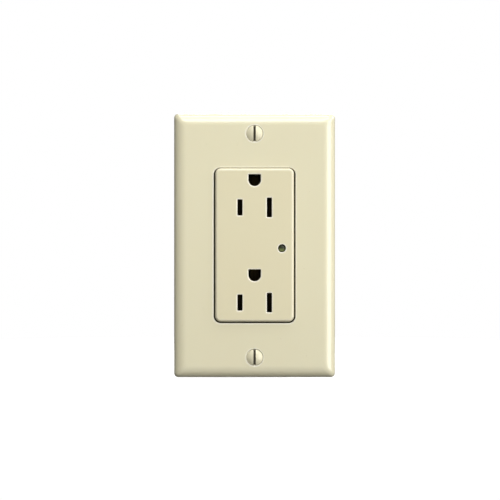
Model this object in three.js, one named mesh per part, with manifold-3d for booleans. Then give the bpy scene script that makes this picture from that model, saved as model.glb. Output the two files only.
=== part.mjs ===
// A decorator-style duplex receptacle with a round status light, its wallplate and everything inside it.
// Millimetres. X is to the right seen from the room, Y runs into the wall and Z is up.
// The origin is the centre of the device's flat front face, midway between its side edges.

import * as THREE from "three";
import { mergeVertices } from "three/addons/utils/BufferGeometryUtils.js";
import Module from "manifold-3d";

const wasm = await Module();
wasm.setup();

// ---------------------------------------------------------------- driving dimensions

const INCH = 25.4;

const PLATE = { width: 2.75 * INCH, height: 4.5 * INCH, depth: 5.6, wall: 2.2, corner: 1.7 };
const PLATE_EDGE = { run: 5.3, drop: 3.3, steps: 5 };
const PLATE_SCREW_Z = (3.8125 * INCH) / 2;
const OPENING = { width: 35.1, height: 67.1, corner: 2.9 };
const PLATE_HOLE = { rim: 3.85, depth: 2, radius: 1.95, hub: 2.9 };

const FACE = { width: 34.2, height: 66.3, corner: 2.4, edge: 1.1, wall: 2, side: 1.6, innerCorner: 1.2 };
const FACE_PROUD = 1.2;
const FLANGE = { width: 43, height: 70, corner: 1.5, thick: 1.6 };

const PLATE_FRONT = FACE_PROUD;
const WALL_PLANE = PLATE_FRONT + PLATE.depth;
const STRAP_THICK = 1.3;
const STRAP_FRONT = WALL_PLANE - STRAP_THICK;
const SEAT_GAP = 0.05;
const COVER_BACK = STRAP_FRONT - SEAT_GAP;

const BLADE_X = (0.5 * INCH) / 2;
const GROUND_ABOVE_BLADES = 0.468 * INCH;
const OUTLETS = { top: 16.4, bottom: -24.7 };
const SLOT = { width: 2.1, hot: 6.9, neutral: 8.4, collar: 1.1 };
const GROUND_HOLE = { radius: 2.65, above: 2.45 };
const LIGHT = { x: 11.8, z: -1.2, hole: 1.7, radius: 1.5 };

const HOUSING = { back: 38, wall: 1.8, bevel: 1.6, innerCorner: 0.6 };
const CORNER_SCREW = { x: 17, z: 30.7, well: 2.45, wellDepth: 2.2 };
const COVER_COLUMN = { back: 16, radius: 2.3, hole: 1.1 };
const HOUSING_COLUMN = { front: 16.2, radius: 2.6, hole: 1.25 };
const BOARD_POST = { x: 12.6, z: 25, radius: 1.6 };
const WIRE_ENTRY = { x: 17.6, apart: 5.2, radius: 1.3 };

const STRAP = { half: 14.4, bodyEnd: 36.2, bodyCorner: 1, neck: 10.2, end: 53.2, neckCorner: 2.5 };
const STRAP_SLOT = { width: 6.6, height: 4, corner: 1.95 };
const STRAP_WINDOW = { width: 5, height: 11, corner: 0.8, groundRadius: 3.8, lightRadius: 2 };
const EAR = { x: 12.9, z: 49.3, radius: 3.9, hole: 1.7, halfWeb: 1.4 };
const BOX_SCREW_Z = (3.281 * INCH) / 2;

const SCREW_SIX = { radius: 1.72, hole: 1.9 };
const SCREW_EIGHT = { radius: 2.0, hole: 2.15 };
const OVAL_HEAD = { rim: 3.5, dome: 1.1, cone: 1.9, slotWidth: 1.0, slotBack: 0.5 };
const BOX_HEAD = { radius: 3.4, height: 1.6 };
const TERMINAL_HEAD = { radius: 4, height: 2.2, length: 8 };
const HOUSING_SCREW = { head: 2.2, height: 1.3, radius: 0.95, length: 25 };
const SCREW_TIP = 0.8;
const RETAINER = { half: 4, thick: 0.8, behindStrap: 1.6 };
const CLIP = { half: 4.4, low: -4, high: 5.2, thick: 0.5, finger: 1.2 };
const CLAMP = { half: 4.3, thick: 1.3, behindTab: 0.5 };
const TERMINAL = { z: 14, y: 19, tabInner: 18.3, tabThick: 0.9, tab: 11, window: 9.8 };
const GROUND_TERMINAL = { x: 16.5, y: 12.6, z: 40.3, tab: 8.6 };

const BUS = { thick: 0.8, inner: 7.2, base: 18.6, baseInner: 4.2, front: 8, spineFront: 13.5 };
const BUS_CHEEK = 4.2;
const BUS_ARM = { back: 4, half: 3.5 };
const LEAF = { thick: 0.6, root: 4.7, hingeY: 18.2, width: 6.4 };
const GROUND_STRIP = {
  y: 22.2, thick: 1, half: 3.6, riser: -32.2, rivetZ: -26.8, pastHole: 2.6, footLength: 9.6,
};
const RIVET = { hole: 1.55, radius: 1.45, head: 0.9, dome: 2.4, foot: 2.3 };
const GROUND_LEAF = { root: 2.9, hingeY: 21.8, width: 4.4 };

const BARRIER = { front: 24.8, back: 26, halfX: 16.2, halfZ: 32.6, cornerX: 13.9, cornerZ: 27.6 };
const BOARD = { front: 27.8, back: 29.4, halfX: 14.8, halfZ: 27.2 };
const LEAD = { radius: 0.75, x: 11, groundZ: 8 };
const VARISTOR = { radius: 7, thick: 4.4, pinSpread: 3.7, pinRadius: 0.4, standoff: 0.7 };
const AXIAL_LEAD = { radius: 0.35, reach: 2 };
const LIGHT_PIPE = { front: 0.8, dome: 0.45, collar: 2.3, collarY: 1.5, collarThick: 1.1, length: 21.7 };
const LAMP = { body: 3.1, base: 1.85, length: 4 };

const FINE = 24;
const COARSE = 14;
const TINY = 8;

// ---------------------------------------------------------------- materials

const finish = (color, roughness, metalness) => (
  new THREE.MeshStandardMaterial({ color, roughness, metalness })
);

const IVORY = finish(0xdfd9bb, 0.28, 0);
const IVORY_FACE = finish(0xdbd4b5, 0.34, 0);
const IVORY_PAINT = finish(0xddd6b6, 0.3, 0.1);
const CHARCOAL = finish(0x2a2b2d, 0.55, 0);
const ZINC = finish(0xb9bcbc, 0.35, 0.9);
const BRASS = finish(0xc8a352, 0.32, 0.95);
const NICKEL = finish(0xc9c8c4, 0.28, 0.95);
const GREEN_SCREW = finish(0x2f7d4a, 0.35, 0.5);
const FIBRE = finish(0xb79a6c, 0.9, 0);
const CLEAR_GREEN = finish(0x4f6b32, 0.12, 0);
const BARRIER_GREY = finish(0x6f7376, 0.6, 0);
const BOARD_GREEN = finish(0x1f5a3a, 0.45, 0);
const VARISTOR_BLUE = finish(0x2c5fa8, 0.4, 0);
const FUSE_METAL = finish(0xd6d6cf, 0.3, 0.8);
const RESISTOR_TAN = finish(0xc7a877, 0.5, 0);
const DIODE_BLACK = finish(0x1a1a1c, 0.4, 0);
const WIRE_BLACK = finish(0x1c1c1c, 0.5, 0);
const WIRE_WHITE = finish(0xe4e4e0, 0.5, 0);
const WIRE_GREEN = finish(0x2c8a4c, 0.5, 0);

// ---------------------------------------------------------------- solids

// A closed geometry as a manifold-3d solid, with its faces turned outward.
function solid(geometry) {
  const bare = geometry.clone();
  bare.deleteAttribute("normal");
  bare.deleteAttribute("uv");
  const merged = mergeVertices(bare, 1e-4);
  const triVerts = new Uint32Array(merged.index.array);
  const vertProperties = new Float32Array(merged.attributes.position.array);
  const made = new wasm.Manifold(new wasm.Mesh({ numProp: 3, vertProperties, triVerts }));
  if (made.volume() > 0) return made;
  for (let i = 0; i < triVerts.length; i += 3) {
    const swapped = triVerts[i + 1];
    triVerts[i + 1] = triVerts[i + 2];
    triVerts[i + 2] = swapped;
  }
  return new wasm.Manifold(new wasm.Mesh({ numProp: 3, vertProperties, triVerts }));
}

function geometryOf(body) {
  const mesh = body.getMesh();
  const geometry = new THREE.BufferGeometry();
  geometry.setAttribute("position", new THREE.BufferAttribute(new Float32Array(mesh.vertProperties), 3));
  geometry.setIndex(new THREE.BufferAttribute(new Uint32Array(mesh.triVerts), 1));
  geometry.computeVertexNormals();
  return geometry;
}

const joined = (bodies) => bodies.reduce((whole, body) => whole.add(body));
const cutAll = (body, tools) => tools.reduce((left, tool) => left.subtract(tool), body);

// A box between two x, two y and two z values, each pair in either order.
function block([x0, x1], [y0, y1], [z0, z1]) {
  const geometry = new THREE.BoxGeometry(Math.abs(x1 - x0), Math.abs(y1 - y0), Math.abs(z1 - z0));
  return solid(geometry.translate((x0 + x1) / 2, (y0 + y1) / 2, (z0 + z1) / 2));
}

// A cylinder, or a cone with two radii, along Y at (x, z) from y0 to y1.
function post(x, z, y0, y1, radius, endRadius = radius, segments = COARSE) {
  const geometry = new THREE.CylinderGeometry(endRadius, radius, y1 - y0, segments);
  return solid(geometry.translate(x, (y0 + y1) / 2, z));
}

// A cylinder along X at (y, z) from x0 to x1.
function crossPost(y, z, x0, x1, radius, segments = COARSE) {
  const geometry = new THREE.CylinderGeometry(radius, radius, Math.abs(x1 - x0), segments);
  return solid(geometry.rotateZ(Math.PI / 2).translate((x0 + x1) / 2, y, z));
}

// A shape drawn in X and Z, pushed along Y from y0 to y1.
function slab(shape, y0, y1, curveSegments = 2) {
  const geometry = new THREE.ExtrudeGeometry(shape, { depth: y1 - y0, bevelEnabled: false, curveSegments });
  return solid(geometry.rotateX(Math.PI / 2).translate(0, y1, 0));
}

// A shape drawn in X and Y, pushed along Z to half its width on both sides.
function strip(shape, width) {
  const geometry = new THREE.ExtrudeGeometry(shape, { depth: width, bevelEnabled: false, curveSegments: 4 });
  return solid(geometry.translate(0, 0, -width / 2));
}

// A solid of revolution about Y from [radius, y] points that start and end on the axis.
function turned(profile, segments = FINE) {
  const points = profile.map(([radius, y]) => new THREE.Vector2(radius, y));
  return solid(new THREE.LatheGeometry(points, segments));
}

function roundedRectangle(width, height, radius, x = 0, z = 0) {
  const shape = new THREE.Shape();
  const [left, right, low, high] = [x - width / 2, x + width / 2, z - height / 2, z + height / 2];
  shape.moveTo(left + radius, low);
  shape.lineTo(right - radius, low);
  shape.absarc(right - radius, low + radius, radius, -Math.PI / 2, 0);
  shape.lineTo(right, high - radius);
  shape.absarc(right - radius, high - radius, radius, 0, Math.PI / 2);
  shape.lineTo(left + radius, high);
  shape.absarc(left + radius, high - radius, radius, Math.PI / 2, Math.PI);
  shape.lineTo(left, low + radius);
  shape.absarc(left + radius, low + radius, radius, Math.PI, 1.5 * Math.PI);
  return shape;
}

// A stack of rounded rectangles that shrinks towards the front along a quarter ellipse.
function domedSlab(width, height, corner, front, back, run, drop, steps) {
  const rings = [ringOf(width, height, corner, back)];
  for (let i = 0; i <= steps; i += 1) {
    const angle = (i / steps) * (Math.PI / 2);
    const inset = run * (1 - Math.cos(angle));
    const y = front + drop * (1 - Math.sin(angle));
    rings.push(ringOf(width - 2 * inset, height - 2 * inset, corner, y));
  }
  return lofted(rings);
}

// The outline of a rounded rectangle at depth y, always with the same number of points.
function ringOf(width, height, radius, y) {
  const steps = 4;
  const ring = [];
  for (let corner = 0; corner < 4; corner += 1) {
    const middle = Math.PI / 4 + (corner * Math.PI) / 2;
    const x = Math.sign(Math.cos(middle)) * (width / 2 - radius);
    const z = Math.sign(Math.sin(middle)) * (height / 2 - radius);
    for (let i = 0; i <= steps; i += 1) {
      const angle = (corner * Math.PI) / 2 + (i / steps) * (Math.PI / 2);
      ring.push(new THREE.Vector3(x + radius * Math.cos(angle), y, z + radius * Math.sin(angle)));
    }
  }
  return ring;
}

// A closed skin over matching rings, with flat ends.
function lofted(rings) {
  const count = rings[0].length;
  const positions = rings.flat().flatMap((p) => [p.x, p.y, p.z]);
  const index = [];
  for (let r = 0; r + 1 < rings.length; r += 1) {
    for (let i = 0; i < count; i += 1) {
      const [a, b] = [r * count + i, r * count + ((i + 1) % count)];
      index.push(a, b, b + count, a, b + count, a + count);
    }
  }
  const last = (rings.length - 1) * count;
  for (let i = 1; i + 1 < count; i += 1) {
    index.push(0, i + 1, i);
    index.push(last, last + i, last + i + 1);
  }
  const geometry = new THREE.BufferGeometry();
  geometry.setAttribute("position", new THREE.Float32BufferAttribute(positions, 3));
  geometry.setIndex(index);
  return solid(geometry);
}

// ---------------------------------------------------------------- the scene graph

const outlet = new THREE.Group();

function part(name, body, material, parent = outlet) {
  const mesh = new THREE.Mesh(geometryOf(body), material);
  mesh.name = name;
  parent.add(mesh);
  return mesh;
}

const ends = [
  { name: "top", sign: 1 },
  { name: "bottom", sign: -1 },
];

// Seen from the room, with the ground holes up, the hot slots are on the left and the neutral ones
// on the right.
const poles = [
  { name: "hot", side: -1, slot: SLOT.hot, screw: BRASS },
  { name: "neutral", side: 1, slot: SLOT.neutral, screw: NICKEL },
];

const outlets = Object.entries(OUTLETS).map(([name, bladeZ]) => ({
  name,
  bladeZ,
  groundZ: bladeZ + GROUND_ABOVE_BLADES,
}));

const corners = [
  [1, 1],
  [-1, 1],
  [-1, -1],
  [1, -1],
].map(([sx, sz]) => ({ x: sx * CORNER_SCREW.x, z: sz * CORNER_SCREW.z }));

// ---------------------------------------------------------------- wallplate

function wallplate() {
  const outer = domedSlab(
    PLATE.width,
    PLATE.height,
    PLATE.corner,
    PLATE_FRONT,
    WALL_PLANE,
    PLATE_EDGE.run,
    PLATE_EDGE.drop,
    PLATE_EDGE.steps,
  );
  const thin = 2 * PLATE.wall;
  const hollow = domedSlab(
    PLATE.width - thin,
    PLATE.height - thin,
    PLATE.corner,
    PLATE_FRONT + PLATE.wall,
    WALL_PLANE + 1,
    PLATE_EDGE.run - 1,
    PLATE_EDGE.drop - 1,
    3,
  );
  const bosses = ends.map((end) =>
    post(0, end.sign * PLATE_SCREW_Z, PLATE_FRONT + PLATE.wall - 0.2, STRAP_FRONT - 0.2, PLATE_HOLE.hub),
  );
  const opening = slab(
    roundedRectangle(OPENING.width, OPENING.height, OPENING.corner),
    PLATE_FRONT - 1,
    WALL_PLANE,
  );
  const { rim, depth, radius } = PLATE_HOLE;
  const screwHoles = ends.flatMap((end) => [
    post(0, end.sign * PLATE_SCREW_Z, PLATE_FRONT - 0.2, PLATE_FRONT + depth, rim, radius, FINE),
    post(0, end.sign * PLATE_SCREW_Z, PLATE_FRONT, WALL_PLANE, radius, radius, FINE),
  ]);
  return cutAll(joined([outer.subtract(hollow), ...bosses]), [opening, ...screwHoles]);
}

// ---------------------------------------------------------------- screws, each with its tip along +Y

function slotCut(width, depth, top) {
  return block([-width / 2, width / 2], [top - 1, top + depth], [-6, 6]);
}

// An oval countersunk head whose rim is at y = 0, so the dome stands at negative y.
function ovalScrew(length) {
  const { rim, dome, cone, slotWidth, slotBack } = OVAL_HEAD;
  const profile = [[0, -dome]];
  for (let i = 1; i <= 4; i += 1) {
    const angle = (i / 4) * (Math.PI / 2);
    profile.push([rim * Math.sin(angle), -dome * Math.cos(angle)]);
  }
  profile.push([SCREW_SIX.radius, cone]);
  profile.push([SCREW_SIX.radius, length - SCREW_TIP]);
  profile.push([SCREW_SIX.radius / 2, length], [0, length]);
  return turned(profile).subtract(slotCut(slotWidth, dome + slotBack, -dome));
}

// A flat-bottomed head whose underside is at y = 0.
function binderScrew(headRadius, headHeight, shankRadius, length, segments = 20) {
  const profile = [
    [0, -headHeight],
    [headRadius * 0.8, -headHeight],
    [headRadius, -headHeight * 0.6],
    [headRadius, 0],
    [shankRadius, 0],
    [shankRadius, length - SCREW_TIP],
    [shankRadius - 0.7, length],
    [0, length],
  ];
  return turned(profile, segments).subtract(slotCut(headRadius * 0.26, headHeight * 0.5, -headHeight));
}

// ---------------------------------------------------------------- front cover

function bladeSlot(pole, bladeZ, grow, y0, y1) {
  const x = pole.side * BLADE_X;
  const [halfX, halfZ] = [SLOT.width / 2 + grow, pole.slot / 2 + grow];
  return block([x - halfX, x + halfX], [y0, y1], [bladeZ - halfZ, bladeZ + halfZ]);
}

// The ground hole is flat on the side away from the blades and round towards them.
function groundHole(z, grow, y0, y1) {
  const radius = GROUND_HOLE.radius + grow;
  const shape = new THREE.Shape();
  shape.moveTo(radius, z + GROUND_HOLE.above + grow);
  shape.lineTo(-radius, z + GROUND_HOLE.above + grow);
  shape.lineTo(-radius, z);
  shape.absarc(0, z, radius, Math.PI, 2 * Math.PI);
  return slab(shape, y0, y1, 7);
}

function frontCover() {
  const face = domedSlab(FACE.width, FACE.height, FACE.corner, 0, COVER_BACK, FACE.edge, FACE.edge, 4);
  const flangeShape = roundedRectangle(FLANGE.width, FLANGE.height, FLANGE.corner);
  const flange = slab(flangeShape, COVER_BACK - FLANGE.thick, COVER_BACK);
  const inside = roundedRectangle(FACE.width - 2 * FACE.side, FACE.height - 2 * FACE.side, FACE.innerCorner);
  const { collar } = SLOT;
  const collars = outlets.flatMap(({ bladeZ, groundZ }) => [
    ...poles.map((pole) => bladeSlot(pole, bladeZ, collar, 0, COVER_BACK)),
    groundHole(groundZ, collar, 0, COVER_BACK),
  ]);
  const pocket = cutAll(slab(inside, FACE.wall, COVER_BACK + 1), collars);
  const cuts = outlets.flatMap(({ bladeZ, groundZ }) => [
    ...poles.map((pole) => bladeSlot(pole, bladeZ, 0, -1, COVER_BACK + 1)),
    groundHole(groundZ, 0, -1, COVER_BACK + 1),
  ]);
  cuts.push(post(LIGHT.x, LIGHT.z, -1, FACE.wall + 1, LIGHT.hole, LIGHT.hole, FINE));
  const posts = corners.map(({ x, z }) =>
    post(x, z, COVER_BACK - 1, COVER_COLUMN.back, COVER_COLUMN.radius).subtract(
      post(x, z, STRAP_FRONT + 1, COVER_COLUMN.back + 1, COVER_COLUMN.hole),
    ),
  );
  return joined([cutAll(face.add(flange).subtract(pocket), cuts), ...posts]);
}

// ---------------------------------------------------------------- rear housing

function rearHousing() {
  const front = COVER_BACK + SEAT_GAP;
  const innerBack = HOUSING.back - HOUSING.wall;
  const { bevel } = HOUSING;
  const outer = lofted([
    ringOf(FLANGE.width - 2 * bevel, FLANGE.height - 2 * bevel, FLANGE.corner, HOUSING.back),
    ringOf(FLANGE.width, FLANGE.height, FLANGE.corner, HOUSING.back - bevel),
    ringOf(FLANGE.width, FLANGE.height, FLANGE.corner, front),
  ]);
  const thin = 2 * HOUSING.wall;
  const inside = roundedRectangle(FLANGE.width - thin, FLANGE.height - thin, HOUSING.innerCorner);
  const hollow = slab(inside, front - 1, innerBack);
  const columns = corners.map(({ x, z }) =>
    post(x, z, HOUSING_COLUMN.front, innerBack + 0.5, HOUSING_COLUMN.radius),
  );
  const boardPosts = corners.map(({ x, z }) => {
    const [postX, postZ] = [Math.sign(x) * BOARD_POST.x, Math.sign(z) * BOARD_POST.z];
    return post(postX, postZ, BOARD.back + 0.1, innerBack + 0.5, BOARD_POST.radius);
  });
  const strapNotch = block(
    [-STRAP.half - 0.2, STRAP.half + 0.2],
    [front - 1, WALL_PLANE + 0.1],
    [-FLANGE.height, FLANGE.height],
  );
  const screwHoles = corners.flatMap(({ x, z }) => [
    post(x, z, COVER_COLUMN.back, HOUSING.back + 1, HOUSING_COLUMN.hole),
    post(x, z, HOUSING.back - CORNER_SCREW.wellDepth, HOUSING.back + 1, CORNER_SCREW.well),
  ]);
  const half = TERMINAL.window / 2;
  const windows = poles.flatMap(({ side }) =>
    ends.map(({ sign }) =>
      block(
        [side * (TERMINAL.tabInner + 0.5), side * (FLANGE.width / 2 + 1)],
        [TERMINAL.y - half, TERMINAL.y + half],
        [sign * TERMINAL.z - half, sign * TERMINAL.z + half],
      ),
    ),
  );
  const wireHoles = poles.flatMap(({ side }) =>
    ends.flatMap(({ sign }) =>
      [-0.5, 0.5].map((share) => {
        const z = sign * TERMINAL.z + share * WIRE_ENTRY.apart;
        return post(side * WIRE_ENTRY.x, z, innerBack - 1, HOUSING.back + 1, WIRE_ENTRY.radius);
      }),
    ),
  );
  const shell = joined([outer.subtract(hollow), ...columns, ...boardPosts]);
  return cutAll(shell, [strapNotch, ...screwHoles, ...windows, ...wireHoles]);
}

// ---------------------------------------------------------------- mounting strap

function mountingStrap() {
  const back = WALL_PLANE;
  const flat = (shape) => slab(shape, STRAP_FRONT, back);
  const body = flat(roundedRectangle(2 * STRAP.half, 2 * STRAP.bodyEnd, STRAP.bodyCorner));
  const neck = flat(roundedRectangle(2 * STRAP.neck, 2 * STRAP.end, STRAP.neckCorner));
  const lobes = ends.flatMap(({ sign }) =>
    [-1, 1].flatMap((side) => [
      post(side * EAR.x, sign * EAR.z, STRAP_FRONT, back, EAR.radius, EAR.radius, 20),
      block(
        [side * (STRAP.neck - 1), side * EAR.x],
        [STRAP_FRONT, back],
        [sign * EAR.z - EAR.halfWeb, sign * EAR.z + EAR.halfWeb],
      ),
    ]),
  );
  const tabLow = GROUND_TERMINAL.z - GROUND_TERMINAL.tab / 2;
  const tabHigh = GROUND_TERMINAL.z + GROUND_TERMINAL.tab / 2;
  const tabInner = GROUND_TERMINAL.x - STRAP_THICK;
  const groundTab = joined([
    block([STRAP.neck - 1, GROUND_TERMINAL.x], [STRAP_FRONT, back], [tabLow, tabHigh]),
    block([tabInner, GROUND_TERMINAL.x], [STRAP_FRONT, GROUND_TERMINAL.y + 5], [tabLow, tabHigh]),
  ]);
  const earHoles = ends.flatMap(({ sign }) =>
    [-1, 1].map((side) => post(side * EAR.x, sign * EAR.z, STRAP_FRONT - 1, back + 1, EAR.hole)),
  );
  const through = (shape) => slab(shape, STRAP_FRONT - 1, back + 1);
  const longSlot = (z) => roundedRectangle(STRAP_SLOT.width, STRAP_SLOT.height, STRAP_SLOT.corner, 0, z);
  const throughHoles = ends.flatMap(({ sign }) => [
    post(0, sign * PLATE_SCREW_Z, STRAP_FRONT - 1, back + 1, SCREW_SIX.hole),
    through(longSlot(sign * BOX_SCREW_Z)),
  ]);
  const { width, height, corner, groundRadius, lightRadius } = STRAP_WINDOW;
  const windows = outlets.flatMap(({ bladeZ, groundZ }) => [
    ...poles.map(({ side }) => through(roundedRectangle(width, height, corner, side * BLADE_X, bladeZ))),
    post(0, groundZ, STRAP_FRONT - 1, back + 1, groundRadius, groundRadius, 20),
  ]);
  const smallHoles = [
    post(LIGHT.x, LIGHT.z, STRAP_FRONT - 1, back + 1, lightRadius),
    post(0, GROUND_STRIP.rivetZ, STRAP_FRONT - 1, back + 1, RIVET.hole),
    crossPost(GROUND_TERMINAL.y, GROUND_TERMINAL.z, tabInner - 1, GROUND_TERMINAL.x + 1, SCREW_EIGHT.hole),
  ];
  return cutAll(joined([body, neck, ...lobes, groundTab]), [
    ...earHoles,
    ...throughHoles,
    ...windows,
    ...smallHoles,
  ]);
}

// ---------------------------------------------------------------- contacts

// One pole's brass strip: an outer wall beside both blades, a base behind them and two terminal tabs.
function bus(side) {
  const x = (distance) => side * distance;
  const outer = BUS.inner + BUS.thick;
  const baseBack = BUS.base + BUS.thick;
  const armFront = baseBack + BUS_ARM.back;
  const spine = block([x(BUS.inner), x(outer)], [BUS.spineFront, baseBack], [OUTLETS.bottom, OUTLETS.top]);
  const cheeks = outlets.flatMap(({ bladeZ }) => {
    const heights = [bladeZ - BUS_CHEEK, bladeZ + BUS_CHEEK];
    return [
      block([x(BUS.inner), x(outer)], [BUS.front, baseBack], heights),
      block([x(BUS.baseInner), x(outer)], [BUS.base, baseBack], heights),
    ];
  });
  const halfTab = TERMINAL.tab / 2;
  const tabOuter = TERMINAL.tabInner + TERMINAL.tabThick;
  const terminals = ends.flatMap(({ sign }) => {
    const z = sign * TERMINAL.z;
    const heights = [z - BUS_ARM.half, z + BUS_ARM.half];
    return [
      block([x(BUS.inner), x(tabOuter)], [armFront, armFront + BUS.thick], heights),
      block([x(BUS.inner), x(outer)], [BUS.base, armFront + BUS.thick], heights),
      block(
        [x(TERMINAL.tabInner), x(tabOuter)],
        [TERMINAL.y - halfTab, TERMINAL.y + halfTab],
        [z - halfTab, z + halfTab],
      ).subtract(
        crossPost(TERMINAL.y, z, x(TERMINAL.tabInner - 1), x(tabOuter + 1), SCREW_EIGHT.hole),
      ),
    ];
  });
  return joined([spine, ...cheeks, ...terminals]);
}

// A bent spring strip: its centre line starts at the hinge and runs towards the plug, along -Y.
function springStrip(centreLine, thick, width) {
  const points = centreLine.map(([x, y]) => new THREE.Vector2(x, y));
  const along = (i) => {
    const from = points[Math.max(i - 1, 0)];
    const to = points[Math.min(i + 1, points.length - 1)];
    return to.clone().sub(from).normalize();
  };
  const offset = (sign) =>
    points.map((p, i) => {
      const t = along(i);
      return new THREE.Vector2(p.x - (t.y * sign * thick) / 2, p.y + (t.x * sign * thick) / 2);
    });
  return strip(new THREE.Shape([...offset(1), ...offset(-1).reverse()]), width);
}

function lineLeaf() {
  return springStrip(
    [
      [0, 0],
      [0.05, -1.4],
      [0.95, -7.2],
      [1.1, -8.2],
      [0.9, -9.1],
      [0.2, -10.3],
    ],
    LEAF.thick,
    LEAF.width,
  );
}

function groundLeaf() {
  return springStrip(
    [
      [0, 0],
      [-0.05, -1.4],
      [-0.6, -10.2],
      [-0.68, -11.2],
      [-0.5, -12.2],
      [0.3, -13.6],
    ],
    LEAF.thick,
    GROUND_LEAF.width,
  );
}

function groundStrip() {
  const { y, thick, half, riser, rivetZ, pastHole, footLength } = GROUND_STRIP;
  const top = OUTLETS.top + GROUND_ABOVE_BLADES + pastHole;
  const tabFront = WALL_PLANE + 0.1;
  const strap = joined([
    block([-half, half], [y, y + thick], [riser, top]),
    block([-half, half], [tabFront, y + thick], [riser, riser + thick]),
    block([-half, half], [tabFront, tabFront + thick], [riser, riser + footLength]),
  ]);
  return strap.subtract(post(0, rivetZ, WALL_PLANE, tabFront + 2, RIVET.hole));
}

function rivet() {
  const back = WALL_PLANE + 0.1 + GROUND_STRIP.thick;
  const { radius, head, dome, foot } = RIVET;
  return turned(
    [
      [0, STRAP_FRONT - head],
      [dome * 0.67, STRAP_FRONT - head * 0.9],
      [dome, STRAP_FRONT - head * 0.3],
      [dome, STRAP_FRONT - SEAT_GAP],
      [radius, STRAP_FRONT - SEAT_GAP],
      [radius, back + SEAT_GAP],
      [foot, back + SEAT_GAP],
      [foot * 0.9, back + head],
      [0, back + head],
    ],
    COARSE,
  );
}

// ---------------------------------------------------------------- circuit board and what stands on it

function insulatingBarrier() {
  const { front, back, halfX, halfZ, cornerX, cornerZ } = BARRIER;
  const sheet = block([-halfX, halfX], [front, back], [-halfZ, halfZ]);
  const cornerCuts = corners.map(({ x, z }) =>
    block([Math.sign(x) * cornerX, x * 2], [front - 1, back + 1], [Math.sign(z) * cornerZ, z * 2]),
  );
  const riserHalf = GROUND_STRIP.half + 0.4;
  const riserTop = GROUND_STRIP.riser + 0.2;
  const riserCut = block([-riserHalf, riserHalf], [front - 1, back + 1], [-halfZ - 1, riserTop]);
  const leadPlaces = [[0, LEAD.groundZ], [-LEAD.x, -TERMINAL.z], [LEAD.x, TERMINAL.z]];
  const leadHoles = leadPlaces.map(([x, z]) => post(x, z, front - 1, back + 1, LEAD.radius + 0.5));
  const lampHole = post(LIGHT.x, LIGHT.z, front - 1, back + 1, 2.2);
  return cutAll(sheet, [...cornerCuts, riserCut, ...leadHoles, lampHole]);
}

// An insulated jumper from a brass strip to the board, through points in X, Y, Z.
function jumper(points) {
  const path = new THREE.CatmullRomCurve3(points.map((p) => new THREE.Vector3(...p)));
  const section = new THREE.Shape();
  section.absarc(0, 0, LEAD.radius, 0, 2 * Math.PI);
  const options = { steps: 6, extrudePath: path, curveSegments: 5, bevelEnabled: false };
  return solid(new THREE.ExtrudeGeometry(section, options));
}

function varistor() {
  const { radius, thick, pinSpread, pinRadius } = VARISTOR;
  const disc = turned(
    [
      [0, 0],
      [radius - 1.4, 0],
      [radius - 0.3, 0.8],
      [radius, thick / 2],
      [radius - 0.3, thick - 0.8],
      [radius - 1.4, thick],
      [0, thick],
    ],
    FINE,
  );
  const pins = [-pinSpread, pinSpread].map((x) => post(x, 0, -0.6, 1, pinRadius, pinRadius, TINY));
  return joined([disc, ...pins]);
}

// A tubular component lying along Z with both leads bent down to the board at y = 0.
function axialComponent(radius, length, endRadius, height) {
  const tube = new THREE.CylinderGeometry(radius, radius, length, COARSE).rotateX(Math.PI / 2);
  const caps = new THREE.CylinderGeometry(endRadius, endRadius, length + 1, COARSE).rotateX(Math.PI / 2);
  const { radius: wire, reach: past } = AXIAL_LEAD;
  const reach = length / 2 + past;
  const lead = new THREE.CylinderGeometry(wire, wire, 2 * reach, TINY).rotateX(Math.PI / 2);
  const legs = [-reach, reach].map((z) => post(0, z, 0.1, height + 0.3, wire, wire, TINY));
  return joined([
    ...[tube, caps, lead].map((geometry) => solid(geometry.translate(0, height, 0))),
    ...legs,
  ]);
}

function ledLamp() {
  return turned(
    [
      [0, 0],
      [0.8, 0.2],
      [1.35, 0.7],
      [LIGHT.radius, LIGHT.radius],
      [LIGHT.radius, LAMP.body],
      [LAMP.base, LAMP.body],
      [LAMP.base, LAMP.length],
      [0, LAMP.length],
    ],
    COARSE,
  );
}

function lightPipe() {
  const { dome, collar, collarY, collarThick, length } = LIGHT_PIPE;
  return turned(
    [
      [0, 0],
      [0.8, dome * 0.25],
      [LIGHT.radius, dome],
      [LIGHT.radius, collarY],
      [collar, collarY],
      [collar, collarY + collarThick],
      [LIGHT.radius, collarY + collarThick],
      [LIGHT.radius, length],
      [0, length],
    ],
    20,
  );
}

// ---------------------------------------------------------------- assembly

part("wallplate", wallplate(), IVORY);
part("front_cover", frontCover(), IVORY_FACE);
part("rear_housing", rearHousing(), CHARCOAL);
part("mounting_strap", mountingStrap(), ZINC);

for (const { name, sign } of ends) {
  const plateScrew = part(`wallplate_screw_${name}`, ovalScrew(0.5 * INCH), IVORY_PAINT);
  plateScrew.position.set(0, PLATE_FRONT, sign * PLATE_SCREW_Z);

  const boxScrewBody = binderScrew(BOX_HEAD.radius, BOX_HEAD.height, SCREW_SIX.radius, INCH);
  const boxScrew = part(`mounting_screw_${name}`, boxScrewBody, ZINC);
  boxScrew.position.set(0, STRAP_FRONT - SEAT_GAP, sign * BOX_SCREW_Z);

  const washerHole = post(0, 0, -1, 2, SCREW_SIX.hole);
  const { half, thick, behindStrap } = RETAINER;
  const washer = block([-half, half], [0, thick], [-half, half]).subtract(washerHole);
  const retainer = part(`screw_retainer_${name}`, washer, FIBRE);
  retainer.position.set(0, WALL_PLANE + behindStrap, sign * BOX_SCREW_Z);
}

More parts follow.
